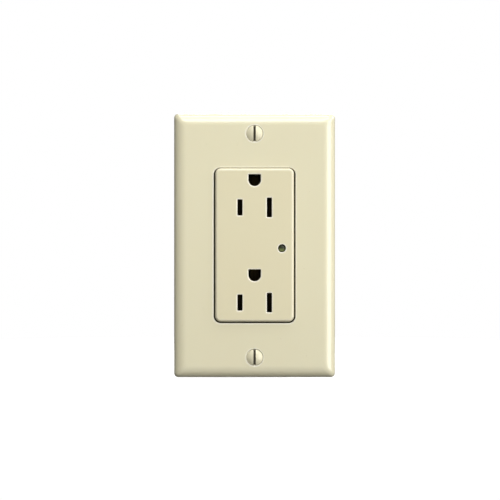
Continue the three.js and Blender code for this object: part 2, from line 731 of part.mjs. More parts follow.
const clipHole = post(0, 0, -1, 4, SCREW_SIX.hole);
const clipSheet = block([-CLIP.half, CLIP.half], [0, CLIP.thick], [CLIP.low, CLIP.high]);
const clipFinger = block([-CLIP.half, CLIP.half], [0, CLIP.finger], [CLIP.low, CLIP.low + CLIP.thick]);
const clip = part("grounding_clip", clipSheet.add(clipFinger).subtract(clipHole), BRASS);
clip.position.set(0, WALL_PLANE + 0.1, -BOX_SCREW_Z);

corners.forEach(({ x, z }, i) => {
  const { head, height, radius, length } = HOUSING_SCREW;
  const screw = part(`housing_screw_${i + 1}`, binderScrew(head, height, radius, length, COARSE), ZINC);
  screw.rotation.x = Math.PI;
  screw.position.set(x, HOUSING.back - CORNER_SCREW.wellDepth + SEAT_GAP, z);
});

// Two line terminals on each side: a screw outside the brass tab and a threaded pressure plate inside it.
function terminal(name, screwMaterial, clampMaterial, tabThick) {
  const group = new THREE.Group();
  const { radius, height, length } = TERMINAL_HEAD;
  const screw = binderScrew(radius, height, SCREW_EIGHT.radius, length);
  part(`${name}_terminal_screw`, screw, screwMaterial, group);
  const { half, thick, behindTab } = CLAMP;
  const plateHole = post(0, 0, -1, thick + 1, SCREW_EIGHT.hole);
  const plate = block([-half, half], [0, thick], [-half, half]).subtract(plateHole);
  part(`${name}_pressure_plate`, plate, clampMaterial, group).position.y = tabThick + behindTab;
  outlet.add(group);
  return group;
}

for (const pole of poles) {
  part(`${pole.name}_bus`, bus(pole.side), BRASS);
  for (const { name, sign } of ends) {
    const group = terminal(`${pole.name}_${name}`, pole.screw, pole.screw, TERMINAL.tabThick);
    const outerFace = TERMINAL.tabInner + TERMINAL.tabThick + 0.1;
    group.position.set(pole.side * outerFace, TERMINAL.y, sign * TERMINAL.z);
    group.rotation.z = (pole.side * Math.PI) / 2;
  }
  for (const { name, bladeZ } of outlets) {
    const leaf = part(`${pole.name}_contact_leaf_${name}`, lineLeaf(), BRASS);
    leaf.position.set(pole.side * LEAF.root, LEAF.hingeY, bladeZ);
    leaf.rotation.y = pole.side > 0 ? 0 : Math.PI;
  }
}

const groundTerminal = terminal("ground", GREEN_SCREW, ZINC, STRAP_THICK);
groundTerminal.position.set(GROUND_TERMINAL.x + 0.1, GROUND_TERMINAL.y, GROUND_TERMINAL.z);
groundTerminal.rotation.z = Math.PI / 2;

part("ground_strip", groundStrip(), BRASS);
part("ground_rivet", rivet(), ZINC).position.z = GROUND_STRIP.rivetZ;
for (const { name, groundZ } of outlets) {
  for (const [label, side] of Object.entries({ left: -1, right: 1 })) {
    const leaf = part(`ground_contact_leaf_${name}_${label}`, groundLeaf(), BRASS);
    leaf.position.set(side * GROUND_LEAF.root, GROUND_LEAF.hingeY, groundZ);
    leaf.rotation.y = side > 0 ? 0 : Math.PI;
  }
}

part("insulating_barrier", insulatingBarrier(), BARRIER_GREY);
const board = block([-BOARD.halfX, BOARD.halfX], [BOARD.front, BOARD.back], [-BOARD.halfZ, BOARD.halfZ]);
part("circuit_board", board, BOARD_GREEN);

const varistorY = BOARD.back + VARISTOR.standoff;
for (const { name, x, z } of [
  { name: "line_neutral", x: -7.4, z: 13 },
  { name: "line_ground", x: 7.4, z: 13 },
  { name: "neutral_ground", x: -7.2, z: -14 },
]) {
  part(`varistor_${name}`, varistor(), VARISTOR_BLUE).position.set(x, varistorY, z);
}

for (const { name, at, tube, material } of [
  { name: "thermal_fuse", at: [4.5, -10], tube: [1.9, 8, 1.5, 2.2], material: FUSE_METAL },
  { name: "led_resistor", at: [9, -9], tube: [1.1, 5.6, 1.25, 1.6], material: RESISTOR_TAN },
  { name: "led_diode", at: [12, -14], tube: [1.2, 4.2, 1.0, 1.6], material: DIODE_BLACK },
]) {
  const [x, z] = at;
  part(name, axialComponent(...tube), material).position.set(x, BOARD.back, z);
}

part("indicator_light_pipe", lightPipe(), CLEAR_GREEN).position.set(LIGHT.x, LIGHT_PIPE.front, LIGHT.z);
part("indicator_led", ledLamp(), CLEAR_GREEN).position.set(LIGHT.x, BOARD.front - LAMP.length - 0.1, LIGHT.z);

const leadStart = BUS.base + 2 * BUS.thick + BUS_ARM.back + 0.1;
for (const { name, side, material, z } of [
  { name: "hot_lead", side: -1, material: WIRE_BLACK, z: -TERMINAL.z },
  { name: "neutral_lead", side: 1, material: WIRE_WHITE, z: TERMINAL.z },
]) {
  const x = side * LEAD.x;
  part(name, jumper([[x, leadStart, z], [x, leadStart + 1.2, z], [x, BOARD.front - 0.1, z]]), material);
}
const groundLeadStart = GROUND_STRIP.y + GROUND_STRIP.thick + 0.1;
part(
  "ground_lead",
  jumper([[0, groundLeadStart, LEAD.groundZ], [0, 25, LEAD.groundZ], [0, BOARD.front - 0.1, LEAD.groundZ]]),
  WIRE_GREEN,
);

export default outlet;
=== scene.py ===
"""The looks of a decorator-style duplex receptacle and its wallplate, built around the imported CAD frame.

Lengths are in millimetres until a mesh is made.
X is to the right seen from the room, Y runs into the wall, Z is up.
"""

import math

import bmesh
import bpy
from mathutils import Matrix, Vector


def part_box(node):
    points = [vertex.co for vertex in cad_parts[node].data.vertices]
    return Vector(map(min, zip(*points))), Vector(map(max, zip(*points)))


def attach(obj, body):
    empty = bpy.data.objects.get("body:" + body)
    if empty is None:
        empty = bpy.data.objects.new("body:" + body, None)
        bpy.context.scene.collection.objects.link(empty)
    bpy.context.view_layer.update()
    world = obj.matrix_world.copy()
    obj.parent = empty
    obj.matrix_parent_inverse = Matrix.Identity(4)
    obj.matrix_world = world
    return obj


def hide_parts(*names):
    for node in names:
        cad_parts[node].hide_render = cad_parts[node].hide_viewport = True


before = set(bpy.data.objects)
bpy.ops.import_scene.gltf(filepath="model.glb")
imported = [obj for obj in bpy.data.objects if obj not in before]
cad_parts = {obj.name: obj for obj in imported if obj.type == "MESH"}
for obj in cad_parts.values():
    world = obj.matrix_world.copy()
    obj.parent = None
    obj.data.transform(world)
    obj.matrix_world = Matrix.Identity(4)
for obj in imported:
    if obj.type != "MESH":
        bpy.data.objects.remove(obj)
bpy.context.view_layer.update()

MM = 0.001
INCH = 25.4
FULL_TURN = 2 * math.pi

# ---------------- driving dimensions

def box_mm(node):
    """Lowest and highest corner of a CAD node, in millimetres."""
    low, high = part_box(node)
    return low / MM, high / MM


PLATE_LOW, PLATE_HIGH = box_mm("wallplate")
COVER_LOW, COVER_HIGH = box_mm("front_cover")
HOUSING_LOW, HOUSING_HIGH = box_mm("rear_housing")
STRAP_LOW, STRAP_HIGH = box_mm("mounting_strap")

PLATE_FRONT, WALL_PLANE = PLATE_LOW.y, PLATE_HIGH.y
PLATE_WIDTH = PLATE_HIGH.x - PLATE_LOW.x
PLATE_HEIGHT = PLATE_HIGH.z - PLATE_LOW.z
PLATE_WALL = 2.2
PLATE_CORNER = 1.7
PLATE_EDGE_RUN = 5.3
PLATE_EDGE_DROP = 3.3
PLATE_EDGE_SLOPE = 1.02
PLATE_INSIDE = PLATE_FRONT + PLATE_WALL
PLATE_SCREW_Z = 3.8125 * INCH / 2
PLATE_SCREW_SLOT = 1.0
PLATE_SCREW_HEAD = 2.0
OPENING_WIDTH, OPENING_HEIGHT, OPENING_CORNER = 35.1, 67.1, 2.9

FACE_WIDTH, FACE_HEIGHT, FACE_CORNER, FACE_EDGE = 34.2, 66.3, 2.4, 1.1
FACE_WALL, FACE_SIDE = 2.0, 1.6
FACE_RAISED = 0.22
FLANGE_CORNER = 1.5
FLANGE_THICK = 1.6
STRAP_FRONT = STRAP_LOW.y
COVER_BACK = STRAP_FRONT - 0.05

BLADE_X = 0.25 * INCH
GROUND_ABOVE_BLADES = 0.468 * INCH
OUTLET_Z = {"top": 16.4, "bottom": -24.7}
SLOT_WIDTH = 2.1
SLOT_HEIGHT = {-1: 6.9, 1: 8.4}
SLOT_COLLAR = 1.1
GROUND_RADIUS, GROUND_ABOVE = 2.65, 2.45
LIGHT_X, LIGHT_Z, LIGHT_HOLE, LIGHT_RADIUS = 11.8, -1.2, 1.7, 1.5

CORNER_SCREW_X, CORNER_SCREW_Z = 17.0, 30.7
BOX_SCREW_Z = 3.281 * INCH / 2
THREAD_PITCH = INCH / 32
THREAD_RADIUS = 1.72
TERMINAL_Y, TERMINAL_Z, TERMINAL_WINDOW = 19.0, 14.0, 9.8
GROUND_TAB_Y, GROUND_TAB_Z, GROUND_TAB_HALF = 12.6, 40.3, 4.3
GROUND_RIVET_Z = -26.8

ENDS = {"top": 1, "bottom": -1}
POLES = {"hot": -1, "neutral": 1}
CORNERS = [(side_x, side_z) for side_x in (-1, 1) for side_z in (-1, 1)]
TERMINALS = [(f"{pole}_{end}", pole, side) for pole, side in POLES.items() for end in ENDS]
TERMINALS.append(("ground", "ground", 1))

ROUND = 64
CORNER_STEPS = 10
SHARP_ANGLE = 32
SOFTENED_ANGLE = 35

# ---------------- outlines and solids


def arc_steps(steps):
    """Angles from 0 to a quarter turn."""
    return [i / steps * math.pi / 2 for i in range(steps + 1)]


def rectangle(width, height, radius, x=0.0, z=0.0, steps=CORNER_STEPS):
    """Counter-clockwise points of a rounded rectangle in X and Z."""
    points = []
    for corner in range(4):
        start = corner * math.pi / 2
        side_x = 1 if corner in (0, 3) else -1
        side_z = 1 if corner in (0, 1) else -1
        centre = Vector((x + side_x * (width / 2 - radius), z + side_z * (height / 2 - radius)))
        for t in arc_steps(steps):
            points.append(centre + radius * Vector((math.cos(start + t), math.sin(start + t))))
    return points


def circle(radius, x=0.0, z=0.0, count=ROUND):
    """Counter-clockwise points of a circle in X and Z."""
    turns = (i / count * FULL_TURN for i in range(count))
    return [Vector((x + radius * math.cos(t), z + radius * math.sin(t))) for t in turns]


def ground_hole(z, grown=0.0):
    """A ground hole: flat above, round below."""
    radius = GROUND_RADIUS + grown
    corner, corner_steps, round_steps = 0.35, 4, 24
    top = z + GROUND_ABOVE + grown
    points = []
    for side in (1, -1):
        centre = Vector((side * (radius - corner), top - corner))
        start = 0.0 if side > 0 else math.pi / 2
        for t in arc_steps(corner_steps):
            points.append(centre + corner * Vector((math.cos(start + t), math.sin(start + t))))
    for i in range(round_steps + 1):
        angle = math.pi + i / round_steps * math.pi
        points.append(Vector((radius * math.cos(angle), z + radius * math.sin(angle))))
    return points


def grow(outline, distance):
    """The outline moved outward by distance, with as many points as before."""
    grown = []
    for i, point in enumerate(outline):
        before = (point - outline[i - 1]).normalized()
        after = (outline[(i + 1) % len(outline)] - point).normalized()
        normal = Vector((before.y + after.y, -before.x - after.x)).normalized()
        lean = max(0.3, normal.dot(Vector((after.y, -after.x))))
        grown.append(point + normal * (distance / lean))
    return grown


def at_depth(outline, y):
    """The outline as a ring of points at depth y."""
    return [Vector((p.x, y, p.y)) for p in outline]


def skin(rings, closed=False):
    """A solid over matching rings, with flat ends, or joined end to end when closed."""
    solid = bmesh.new()
    loops = [[solid.verts.new(point) for point in ring] for ring in rings]
    pairs = list(zip(loops, loops[1:]))
    if closed:
        pairs.append((loops[-1], loops[0]))
    for lower, upper in pairs:
        for i in range(len(lower)):
            j = (i + 1) % len(lower)
            solid.faces.new((lower[i], lower[j], upper[j], upper[i]))
    if not closed:
        solid.faces.new(loops[0][::-1])
        solid.faces.new(loops[-1])
    bmesh.ops.recalc_face_normals(solid, faces=solid.faces)
    return solid


def end_rings(outline, y, fillet, side, steps):
    """Rings from an end face inward: one where the edge is sharp, more where it is rounded over."""
    if not fillet:
        return [at_depth(outline, y)]
    rings = []
    for t in arc_steps(steps):
        drawn_in = grow(outline, -fillet * (1 - math.sin(t)))
        rings.append(at_depth(drawn_in, y + side * fillet * (1 - math.cos(t))))
    return rings


def slab(outline, front, back, fillet=0.0, back_fillet=0.0, steps=5):
    """An outline pushed along Y, with its front and back edges rounded over."""
    back_rings = end_rings(outline, back, back_fillet, -1, steps)
    return skin(end_rings(outline, front, fillet, 1, steps) + back_rings[::-1])


def mouth(outline, surface, depth, fillet, side=1):
    """A cutter from the surface to the depth with a rounded mouth. side is 1 when it runs along +Y."""
    rings = [at_depth(outline, depth)]
    for t in arc_steps(5):
        y = surface + side * fillet * (1 - math.sin(t))
        rings.append(at_depth(grow(outline, fillet * (1 - math.cos(t))), y))
    rings.append(at_depth(grow(outline, fillet * 1.02), surface - side * 1.5))
    return skin(rings)


def block(low, high):
    """A box between two corners, as a cutter or a body to join."""
    corners = ((low[0], low[2]), (high[0], low[2]), (high[0], high[2]), (low[0], high[2]))
    outline = [Vector(corner) for corner in corners]
    return skin([at_depth(outline, low[1]), at_depth(outline, high[1])])


def turned_rings(profile, count):
    """Circles about Y for (radius, y) points."""
    return [at_depth(circle(radius, count=count), y) for radius, y in profile]


def lathe(profile, count=ROUND):
    """A solid turned about Y from (radius, y) points, closed by flat ends."""
    return skin(turned_rings(profile, count))


def corner_rods(radius, count, front, back):
    """Round rods along Y at the four corner screws."""
    rods = []
    for side_x, side_z in CORNERS:
        outline = circle(radius, side_x * CORNER_SCREW_X, side_z * CORNER_SCREW_Z, count)
        rods.append(slab(outline, front, back))
    return rods


def moved(solid, matrix):
    """The solid after a move, in millimetres."""
    bmesh.ops.transform(solid, matrix=matrix, verts=solid.verts)
    return solid


def new_object(name, data):
    """A new object in the scene."""
    piece = bpy.data.objects.new(name, data)
    bpy.context.scene.collection.objects.link(piece)
    return piece


def to_object(solid, name):
    """A Blender object in metres, at the origin, from a solid in millimetres."""
    bmesh.ops.scale(solid, vec=(MM, MM, MM), verts=solid.verts)
    mesh = bpy.data.meshes.new(name)
    solid.to_mesh(mesh)
    solid.free()
    return new_object(name, mesh)


def bake(piece):
    """Applies the piece's modifiers to its mesh."""
    depsgraph = bpy.context.evaluated_depsgraph_get()
    mesh = bpy.data.meshes.new_from_object(piece.evaluated_get(depsgraph))
    piece.modifiers.clear()
    piece.data = mesh


def combine(piece, tools, operation):
    """Joins or cuts a piece with each of several objects in turn, and removes those."""
    for tool in tools:
        modifier = piece.modifiers.new("boolean", "BOOLEAN")
        modifier.object = tool
        modifier.operation = operation
        modifier.solver = "MANIFOLD"
    bake(piece)
    for tool in tools:
        bpy.data.objects.remove(tool, do_unlink=True)


def join(piece, solids):
    """Adds solids to a piece."""
    combine(piece, [to_object(solid, "tool") for solid in solids], "UNION")


def cut(piece, solids):
    """Takes solids away from a piece."""
    combine(piece, [to_object(solid, "tool") for solid in solids], "DIFFERENCE")


def flatten_seams(piece, degrees=0.6):
    """Removes the edges between faces that lie in one plane."""
    solid = bmesh.new()
    solid.from_mesh(piece.data)
    bmesh.ops.remove_doubles(solid, verts=solid.verts, dist=0.002 * MM)
    bmesh.ops.dissolve_limit(
        solid, angle_limit=math.radians(degrees), verts=solid.verts, edges=solid.edges, delimit={"NORMAL"}
    )
    solid.to_mesh(piece.data)
    solid.free()


def soften(piece, width):
    """Rounds every edge sharper than an angle."""
    modifier = piece.modifiers.new("soften", "BEVEL")
    modifier.width = width * MM
    modifier.segments = 2
    modifier.limit_method = "ANGLE"
    modifier.angle_limit = math.radians(SOFTENED_ANGLE)
    modifier.use_clamp_overlap = True
    modifier.miter_outer = "MITER_ARC"
    bake(piece)


def turned_to(side):
    """A turn about Z that carries -Y to the left for -1 and to the right for 1."""
    return Matrix.Rotation(side * math.pi / 2, 4, "Z")


def set_in_place(piece, place, turn=Matrix()):
    """Turns a piece's own vertices, and moves them to a place in millimetres."""
    matrix = Matrix.Translation(place) @ turn
    piece.data.transform(Matrix.Scale(MM, 4) @ matrix @ Matrix.Scale(1 / MM, 4))


def dress(piece, body, slot, material, node):
    """Shades a piece, gives it its material, and lets it ride on its body in its node's stead."""
    piece.data.materials.clear()
    piece.data.materials.append(material)
    piece.data.shade_smooth()
    piece.data.set_sharp_from_angle(angle=math.radians(SHARP_ANGLE))
    normals = piece.modifiers.new("normals", "WEIGHTED_NORMAL")
    normals.keep_sharp = True
    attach(piece, body)
    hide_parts(node)


# ---------------- material nodes


def add_node(tree, kind, inputs, **settings):
    """A new shader node, with each of its inputs set to a value or linked to another node's output."""
    node = tree.nodes.new(f"ShaderNode{kind}")
    for name, value in settings.items():
        setattr(node, name, value)
    for name, value in inputs.items():
        if isinstance(value, bpy.types.NodeSocket):
            tree.links.new(value, node.inputs[name])
        else:
            node.inputs[name].default_value = value
    return node


class Finish:
    """A material being built: its node tree, its principled shader and coordinates in millimetres."""

    def __init__(self, name, colour, roughness, metallic=0.0):
        self.material = bpy.data.materials.new(name)
        self.material.use_nodes = True
        self.tree = self.material.node_tree
        self.shader = self.tree.nodes["Principled BSDF"]
        self.set(Base_Color=(*colour, 1), Roughness=roughness, Metallic=metallic)
        metres = add_node(self.tree, "TexCoord", {}).outputs["Object"]
        self.place = self.vector_math("SCALE", {0: metres, "Scale": 1 / MM}).outputs[0]

    def set(self, **values):
        """Sets shader inputs by name, with spaces written as underscores."""
        for name, value in values.items():
            self.shader.inputs[name.replace("_", " ")].default_value = value

    def drive(self, name, source):
        """Links an output to one of the shader's inputs."""
        self.tree.links.new(source, self.shader.inputs[name])

    def vector_math(self, operation, inputs):
        """One step of arithmetic on a vector."""
        return add_node(self.tree, "VectorMath", inputs, operation=operation)

    def math(self, operation, first, second=0.0):
        """One step of arithmetic on a value."""
        return add_node(self.tree, "Math", {0: first, 1: second}, operation=operation).outputs[0]

    def stretched(self, stretch):
        """Coordinates in millimetres, stretched by a factor on each axis."""
        return self.vector_math("MULTIPLY", {0: self.place, 1: stretch}).outputs[0]

    def noise(self, per_mm, detail=4.0, stretch=(1, 1, 1)):
        """Noise between 0 and 1 with features of about 1 / per_mm millimetres."""
        inputs = {"Scale": per_mm, "Detail": detail, "Roughness": 0.55, "Vector": self.stretched(stretch)}
        return add_node(self.tree, "TexNoise", inputs).outputs["Fac"]

    def spread(self, value, low, high, to_low=0.0, to_high=1.0):
        """A value carried from one range to another, and held at its ends."""
        inputs = {"From Min": low, "From Max": high, "To Min": to_low, "To Max": to_high, "Value": value}
        return add_node(self.tree, "MapRange", inputs).outputs["Result"]

    def axis(self, name):
        """One coordinate, in millimetres."""
        return add_node(self.tree, "SeparateXYZ", {0: self.place}).outputs[name]

    def within(self, name, half):
        """1 where a coordinate is less than half to either side of the middle, and 0 beyond."""
        return self.math("LESS_THAN", self.math("ABSOLUTE", self.axis(name)), half)

    def tint(self, factor, colour):
        """Mixes a colour over the base colour by a factor."""
        base = self.shader.inputs["Base Color"]
        under = base.links[0].from_socket if base.is_linked else tuple(base.default_value)
        inputs = {"A": under, "B": (*colour, 1), "Factor": factor}
        self.drive("Base Color", add_node(self.tree, "Mix", inputs, data_type="RGBA").outputs["Result"])

    def vary(self, name, value, low, high):
        """Drives a shader input from a value between 0 and 1."""
        self.drive(name, self.spread(value, 0.25, 0.75, low, high))

    def emboss(self, value, depth, strength=1.0):
        """Adds a bump of the given depth in millimetres."""
        inputs = {"Distance": depth * MM, "Strength": strength, "Height": value}
        normal = self.shader.inputs["Normal"]
        if normal.is_linked:
            inputs["Normal"] = normal.links[0].from_socket
        self.drive("Normal", add_node(self.tree, "Bump", inputs).outputs["Normal"])

    def edges(self, radius=0.3, flattest=0.995, sharpest=0.85):
        """A mask that is high along edges, within a radius in millimetres."""
        rounded = add_node(self.tree, "Bevel", {"Radius": radius * MM}, samples=6).outputs["Normal"]
        plain = add_node(self.tree, "NewGeometry", {}).outputs["Normal"]
        agreement = self.vector_math("DOT_PRODUCT", {0: rounded, 1: plain}).outputs["Value"]
        return self.spread(agreement, flattest, sharpest)


def scaled(colour, factor):
    """A colour made darker or lighter by a factor."""
    return [c * factor for c in colour]


def ivory(name, colour, roughness, gloss, shadows):
    """Moulded ivory: soft gloss, faint flow shading, painted highlights along its edges, and painted shade in
    its slots and gaps.
    """
    finish = Finish(name, colour, roughness)
    finish.set(Subsurface_Weight=0.06, Subsurface_Scale=MM, Subsurface_Radius=(1.0, 0.8, 0.5), IOR=1.5)
    finish.set(Coat_Weight=gloss, Coat_Roughness=0.16)
    cloudy = finish.noise(0.045, 3, (1, 1, 0.6))
    warmer = [c * factor for c, factor in zip(colour, (0.985, 0.94, 0.91))]
    finish.tint(finish.spread(cloudy, 0.3, 0.75, 0, 0.22), warmer)
    specks = finish.noise(1.9, 2)
    finish.tint(finish.spread(specks, 0.66, 0.8, 0, 0.12), scaled(colour, 0.8))
    finish.vary("Roughness", finish.noise(0.5, 4), roughness - 0.03, roughness + 0.05)
    finish.emboss(finish.noise(5.5, 2), 0.004)
    finish.emboss(finish.noise(0.12, 1), 0.02, 0.5)
    # Painted highlight: a pale band along every edge and slot mouth.
    painted_edge_highlight = finish.math("MULTIPLY", finish.edges(0.9, 0.9998, 0.97), 0.9)
    finish.tint(painted_edge_highlight, [c + 0.62 * (1 - c) for c in colour])
    # Painted shade: each shadow darkens the slots or the gap more the deeper it lies.
    for width, height, near, far, shade in shadows:
        inside = finish.math("MULTIPLY", finish.within("X", width / 2), finish.within("Z", height / 2))
        depth = finish.spread(finish.axis("Y"), near, far)
        finish.tint(finish.math("MULTIPLY", inside, depth), shade)
    return finish.material


def enamel(name, colour):
    """Baked enamel on a screw's head, worn a little at its sharpest edges, over plated steel."""
    finish = Finish(name, colour, 0.3)
    worn = finish.math("MULTIPLY", finish.edges(0.15), finish.spread(finish.noise(1.4, 5), 0.52, 0.66))
    finish.tint(finish.spread(finish.noise(0.7, 3), 0.35, 0.7, 0, 0.25), scaled(colour, 0.9))
    finish.tint(worn, (0.42, 0.4, 0.36))
    head_end = PLATE_FRONT + PLATE_SCREW_HEAD
    shank = finish.spread(finish.axis("Y"), head_end - 0.1, head_end + 0.1)
    finish.tint(shank, (0.6, 0.61, 0.62))
    bare = finish.math("MAXIMUM", finish.math("MULTIPLY", worn, 0.8), shank)
    finish.drive("Metallic", bare)
    # Painted shade: the driver slot is darkened almost to black.
    slot_painted_shade = finish.within("X", PLATE_SCREW_SLOT / 2 + 0.01)
    slot_painted_shade = finish.math("MULTIPLY", slot_painted_shade, finish.math("SUBTRACT", 0.94, shank))
    finish.tint(slot_painted_shade, (0.05, 0.04, 0.02))
    finish.emboss(finish.noise(3.2, 3), 0.008)
    return finish.material


def rolled_metal(name, colour, tarnish, roughness, behind_slot_shade=None):
    """Sheet metal: fine rolling lines, patches of tarnish, and painted shade where it lies behind the slots.
    """
    finish = Finish(name, colour, roughness, 1.0)
    lines = finish.noise(1.0, 3, (3.5, 3.5, 0.12))
    patches = finish.noise(0.16, 5)
    finish.tint(finish.spread(patches, 0.42, 0.75, 0, 0.55), tarnish)
    finish.tint(finish.spread(lines, 0.45, 0.8, 0, 0.25), scaled(colour, 0.75))
    finish.vary("Roughness", lines, roughness - 0.06, roughness + 0.14)
    finish.emboss(lines, 0.006)
    # Painted shade: metal seen through the slots is darkened almost to black.
    if behind_slot_shade:
        finish.tint(finish.math("MULTIPLY", behind_slots(finish), 0.93), behind_slot_shade)
    return finish.material


def behind_slots(finish):
    """A mask for painted shade over what shows through the blade slots and the ground holes, fading out
    beyond them.
    """
    blade_half, ground_half, fade, side_room = 5.2, 3.6, 1.6, 2.5
    reach = 0.0
    for blade_z in OUTLET_Z.values():
        for centre, half in ((blade_z, blade_half), (blade_z + GROUND_ABOVE_BLADES, ground_half)):
            away = finish.math("ABSOLUTE", finish.math("SUBTRACT", finish.axis("Z"), centre))
            reach = finish.math("MAXIMUM", reach, finish.spread(away, half, half + fade, 1, 0))
    return finish.math("MULTIPLY", finish.within("X", BLADE_X + side_room), reach)


def turned_metal(name, colour, tarnish, roughness, metallic=1.0):
    """A plated or lacquered screw: fine turning marks, patches of tarnish and brighter edges."""
    finish = Finish(name, colour, roughness, metallic)
    marks = finish.noise(4.2, 2)
    finish.tint(finish.spread(finish.noise(0.5, 4), 0.42, 0.72, 0, 0.5), tarnish)
    brighter = [min(1.0, c * 1.35 + 0.05) for c in colour]
    finish.tint(finish.spread(finish.edges(0.12), 0, 1, 0, 0.35), brighter)
    finish.vary("Roughness", marks, roughness - 0.05, roughness + 0.12)
    finish.emboss(marks, 0.005)
    return finish.material


def thermoset(name, colour):
    """Dark moulded housing plastic with a fine grain and paler rubbed edges."""
    finish = Finish(name, colour, 0.5)
    finish.tint(finish.spread(finish.noise(0.11, 4), 0.4, 0.75, 0, 0.4), scaled(colour, 1.5))
    finish.tint(finish.spread(finish.edges(0.35), 0, 1, 0, 0.45), (0.13, 0.13, 0.135))
    finish.vary("Roughness", finish.noise(0.8, 5), 0.4, 0.6)
    finish.emboss(finish.noise(3.4, 3), 0.02)
    return finish.material


def fibre(name, colour):
    """Pressed fibre with darker strands."""
    finish = Finish(name, colour, 0.85)
    strands = finish.noise(2.4, 5, (1, 3.5, 0.6))
    finish.tint(finish.spread(strands, 0.4, 0.65, 0, 0.7), scaled(colour, 0.5))
    finish.emboss(strands, 0.05)
    return finish.material


def clear_resin(name, colour, transmission, roughness, glow=0.0):
    """Tinted clear plastic with faint flow lines, and painted shade over its upper half."""
    finish = Finish(name, colour, roughness)
    finish.set(Transmission_Weight=transmission, IOR=1.49)
    flow = finish.noise(1.2, 3, (1, 0.2, 1))
    finish.tint(finish.spread(flow, 0.4, 0.7, 0, 0.3), scaled(colour, 0.7))
    # Painted shade: the upper half is darkened, as the hole's upper rim would shade it.
    upper = finish.spread(finish.axis("Z"), LIGHT_Z - 0.7, LIGHT_Z + 0.3, 0, 0.95)
    finish.tint(upper, scaled(colour, 0.12))
    if glow:
        finish.set(Emission_Color=(*colour, 1), Emission_Strength=glow)
    finish.emboss(flow, 0.004)
    return finish.material


def solder_mask(name):
    """A circuit board: green mask, copper tracks that turn from cell to cell, and tinned pads."""
    finish = Finish(name, (0.012, 0.1, 0.035), 0.32)
    pitch, track_half, pad_radius = 1.9, 0.24, 0.4
    across = finish.math("PINGPONG", finish.axis("X"), pitch / 2)
    along = finish.math("PINGPONG", finish.axis("Z"), pitch / 2)
    inputs = {"Scale": 0.13, "Vector": finish.place}
    cells = add_node(finish.tree, "TexVoronoi", inputs, distance="MANHATTAN")
    choice = finish.math("GREATER_THAN", cells.outputs["Distance"], 0.42)
    other = finish.math("SUBTRACT", 1.0, choice)
    upright = finish.math("MULTIPLY", finish.math("LESS_THAN", across, track_half), choice)
    flat = finish.math("MULTIPLY", finish.math("LESS_THAN", along, track_half), other)
    tracks = finish.math("MAXIMUM", upright, flat)
    finish.tint(finish.math("MULTIPLY", tracks, 0.75), (0.05, 0.24, 0.07))
    squared = finish.math("ADD", finish.math("POWER", across, 2.0), finish.math("POWER", along, 2.0))
    chosen = finish.spread(finish.noise(0.35, 1), 0.58, 0.6)
    pads = finish.math("MULTIPLY", finish.math("LESS_THAN", squared, pad_radius ** 2), chosen)
    finish.tint(pads, (0.62, 0.6, 0.54))
    finish.drive("Metallic", pads)
    finish.emboss(tracks, 0.03)
    return finish.material


def dipped_epoxy(name, colour):
    """A dipped component: glossy, slightly lumpy, a little darker where the coat is thick."""
    finish = Finish(name, colour, 0.25)
    lumps = finish.noise(0.45, 3)
    finish.tint(finish.spread(lumps, 0.35, 0.7, 0, 0.5), scaled(colour, 0.6))
    finish.vary("Roughness", finish.noise(2.0, 4), 0.18, 0.36)
    finish.emboss(lumps, 0.08)
    return finish.material


def banded(name, colour, bands, centre_z):
    """An axial component with painted rings at distances along Z from its middle."""
    finish = Finish(name, colour, 0.4)
    finish.emboss(finish.noise(1.6, 3), 0.02)
    for offset, half, paint in bands:
        away = finish.math("ABSOLUTE", finish.math("SUBTRACT", finish.axis("Z"), centre_z + offset))
        finish.tint(finish.math("LESS_THAN", away, half), paint)
    finish.vary("Roughness", finish.noise(1.1, 3), 0.3, 0.5)
    return finish.material


# Each painted shadow is a width, a height, the depths where it begins and is full, and its colour.
GAP_REACH = (OPENING_WIDTH + 0.6, OPENING_HEIGHT + 0.6)
SLOT_SHADOW = (FACE_WIDTH - 3, FACE_HEIGHT - 3, 0.5, 1.7, (0.02, 0.01, 0.008))
GAP_FLOOR = COVER_BACK - FLANGE_THICK
GAP_FLOOR_SHADOW = (*GAP_REACH, GAP_FLOOR - 0.6, GAP_FLOOR - 0.3, (0.05, 0.035, 0.01))
GAP_SIDE_SHADOW = (*GAP_REACH, PLATE_FRONT + 0.5, PLATE_FRONT + 1.7, (0.15, 0.11, 0.035))
IVORY_PLATE = ivory("ivory_plate", (0.735, 0.69, 0.485), 0.3, 0.9, [GAP_SIDE_SHADOW])
IVORY_FACE = ivory("ivory_face", (0.7, 0.645, 0.44), 0.36, 0.15, [SLOT_SHADOW, GAP_FLOOR_SHADOW])
IVORY_ENAMEL = enamel("ivory_enamel", (0.72, 0.67, 0.475))
HOUSING_DARK = thermoset("housing_dark", (0.026, 0.027, 0.03))
ZINC = rolled_metal("zinc_plate", (0.6, 0.61, 0.62), (0.5, 0.47, 0.4), 0.3)
ZINC_SCREW = turned_metal("zinc_screw", (0.62, 0.63, 0.64), (0.5, 0.48, 0.43), 0.28)
BRASS = rolled_metal("rolled_brass", (0.78, 0.56, 0.22), (0.5, 0.3, 0.12), 0.28, behind_slot_shade=(0.02, 0.015, 0.008))
BRASS_SCREW = turned_metal("brass_screw", (0.8, 0.59, 0.25), (0.55, 0.34, 0.13), 0.26)
NICKEL_SCREW = turned_metal("nickel_screw", (0.68, 0.67, 0.64), (0.5, 0.48, 0.44), 0.22)
GREEN_SCREW = turned_metal("green_screw", (0.02, 0.2, 0.07), (0.01, 0.12, 0.05), 0.24, 0.35)
FIBRE = fibre("pressed_fibre", (0.42, 0.27, 0.13))
PIPE_RESIN = clear_resin("pipe_resin", (0.2, 0.24, 0.08), 0.3, 0.3)
LED_RESIN = clear_resin("led_resin", (0.12, 0.5, 0.12), 0.6, 0.3, 0.05)
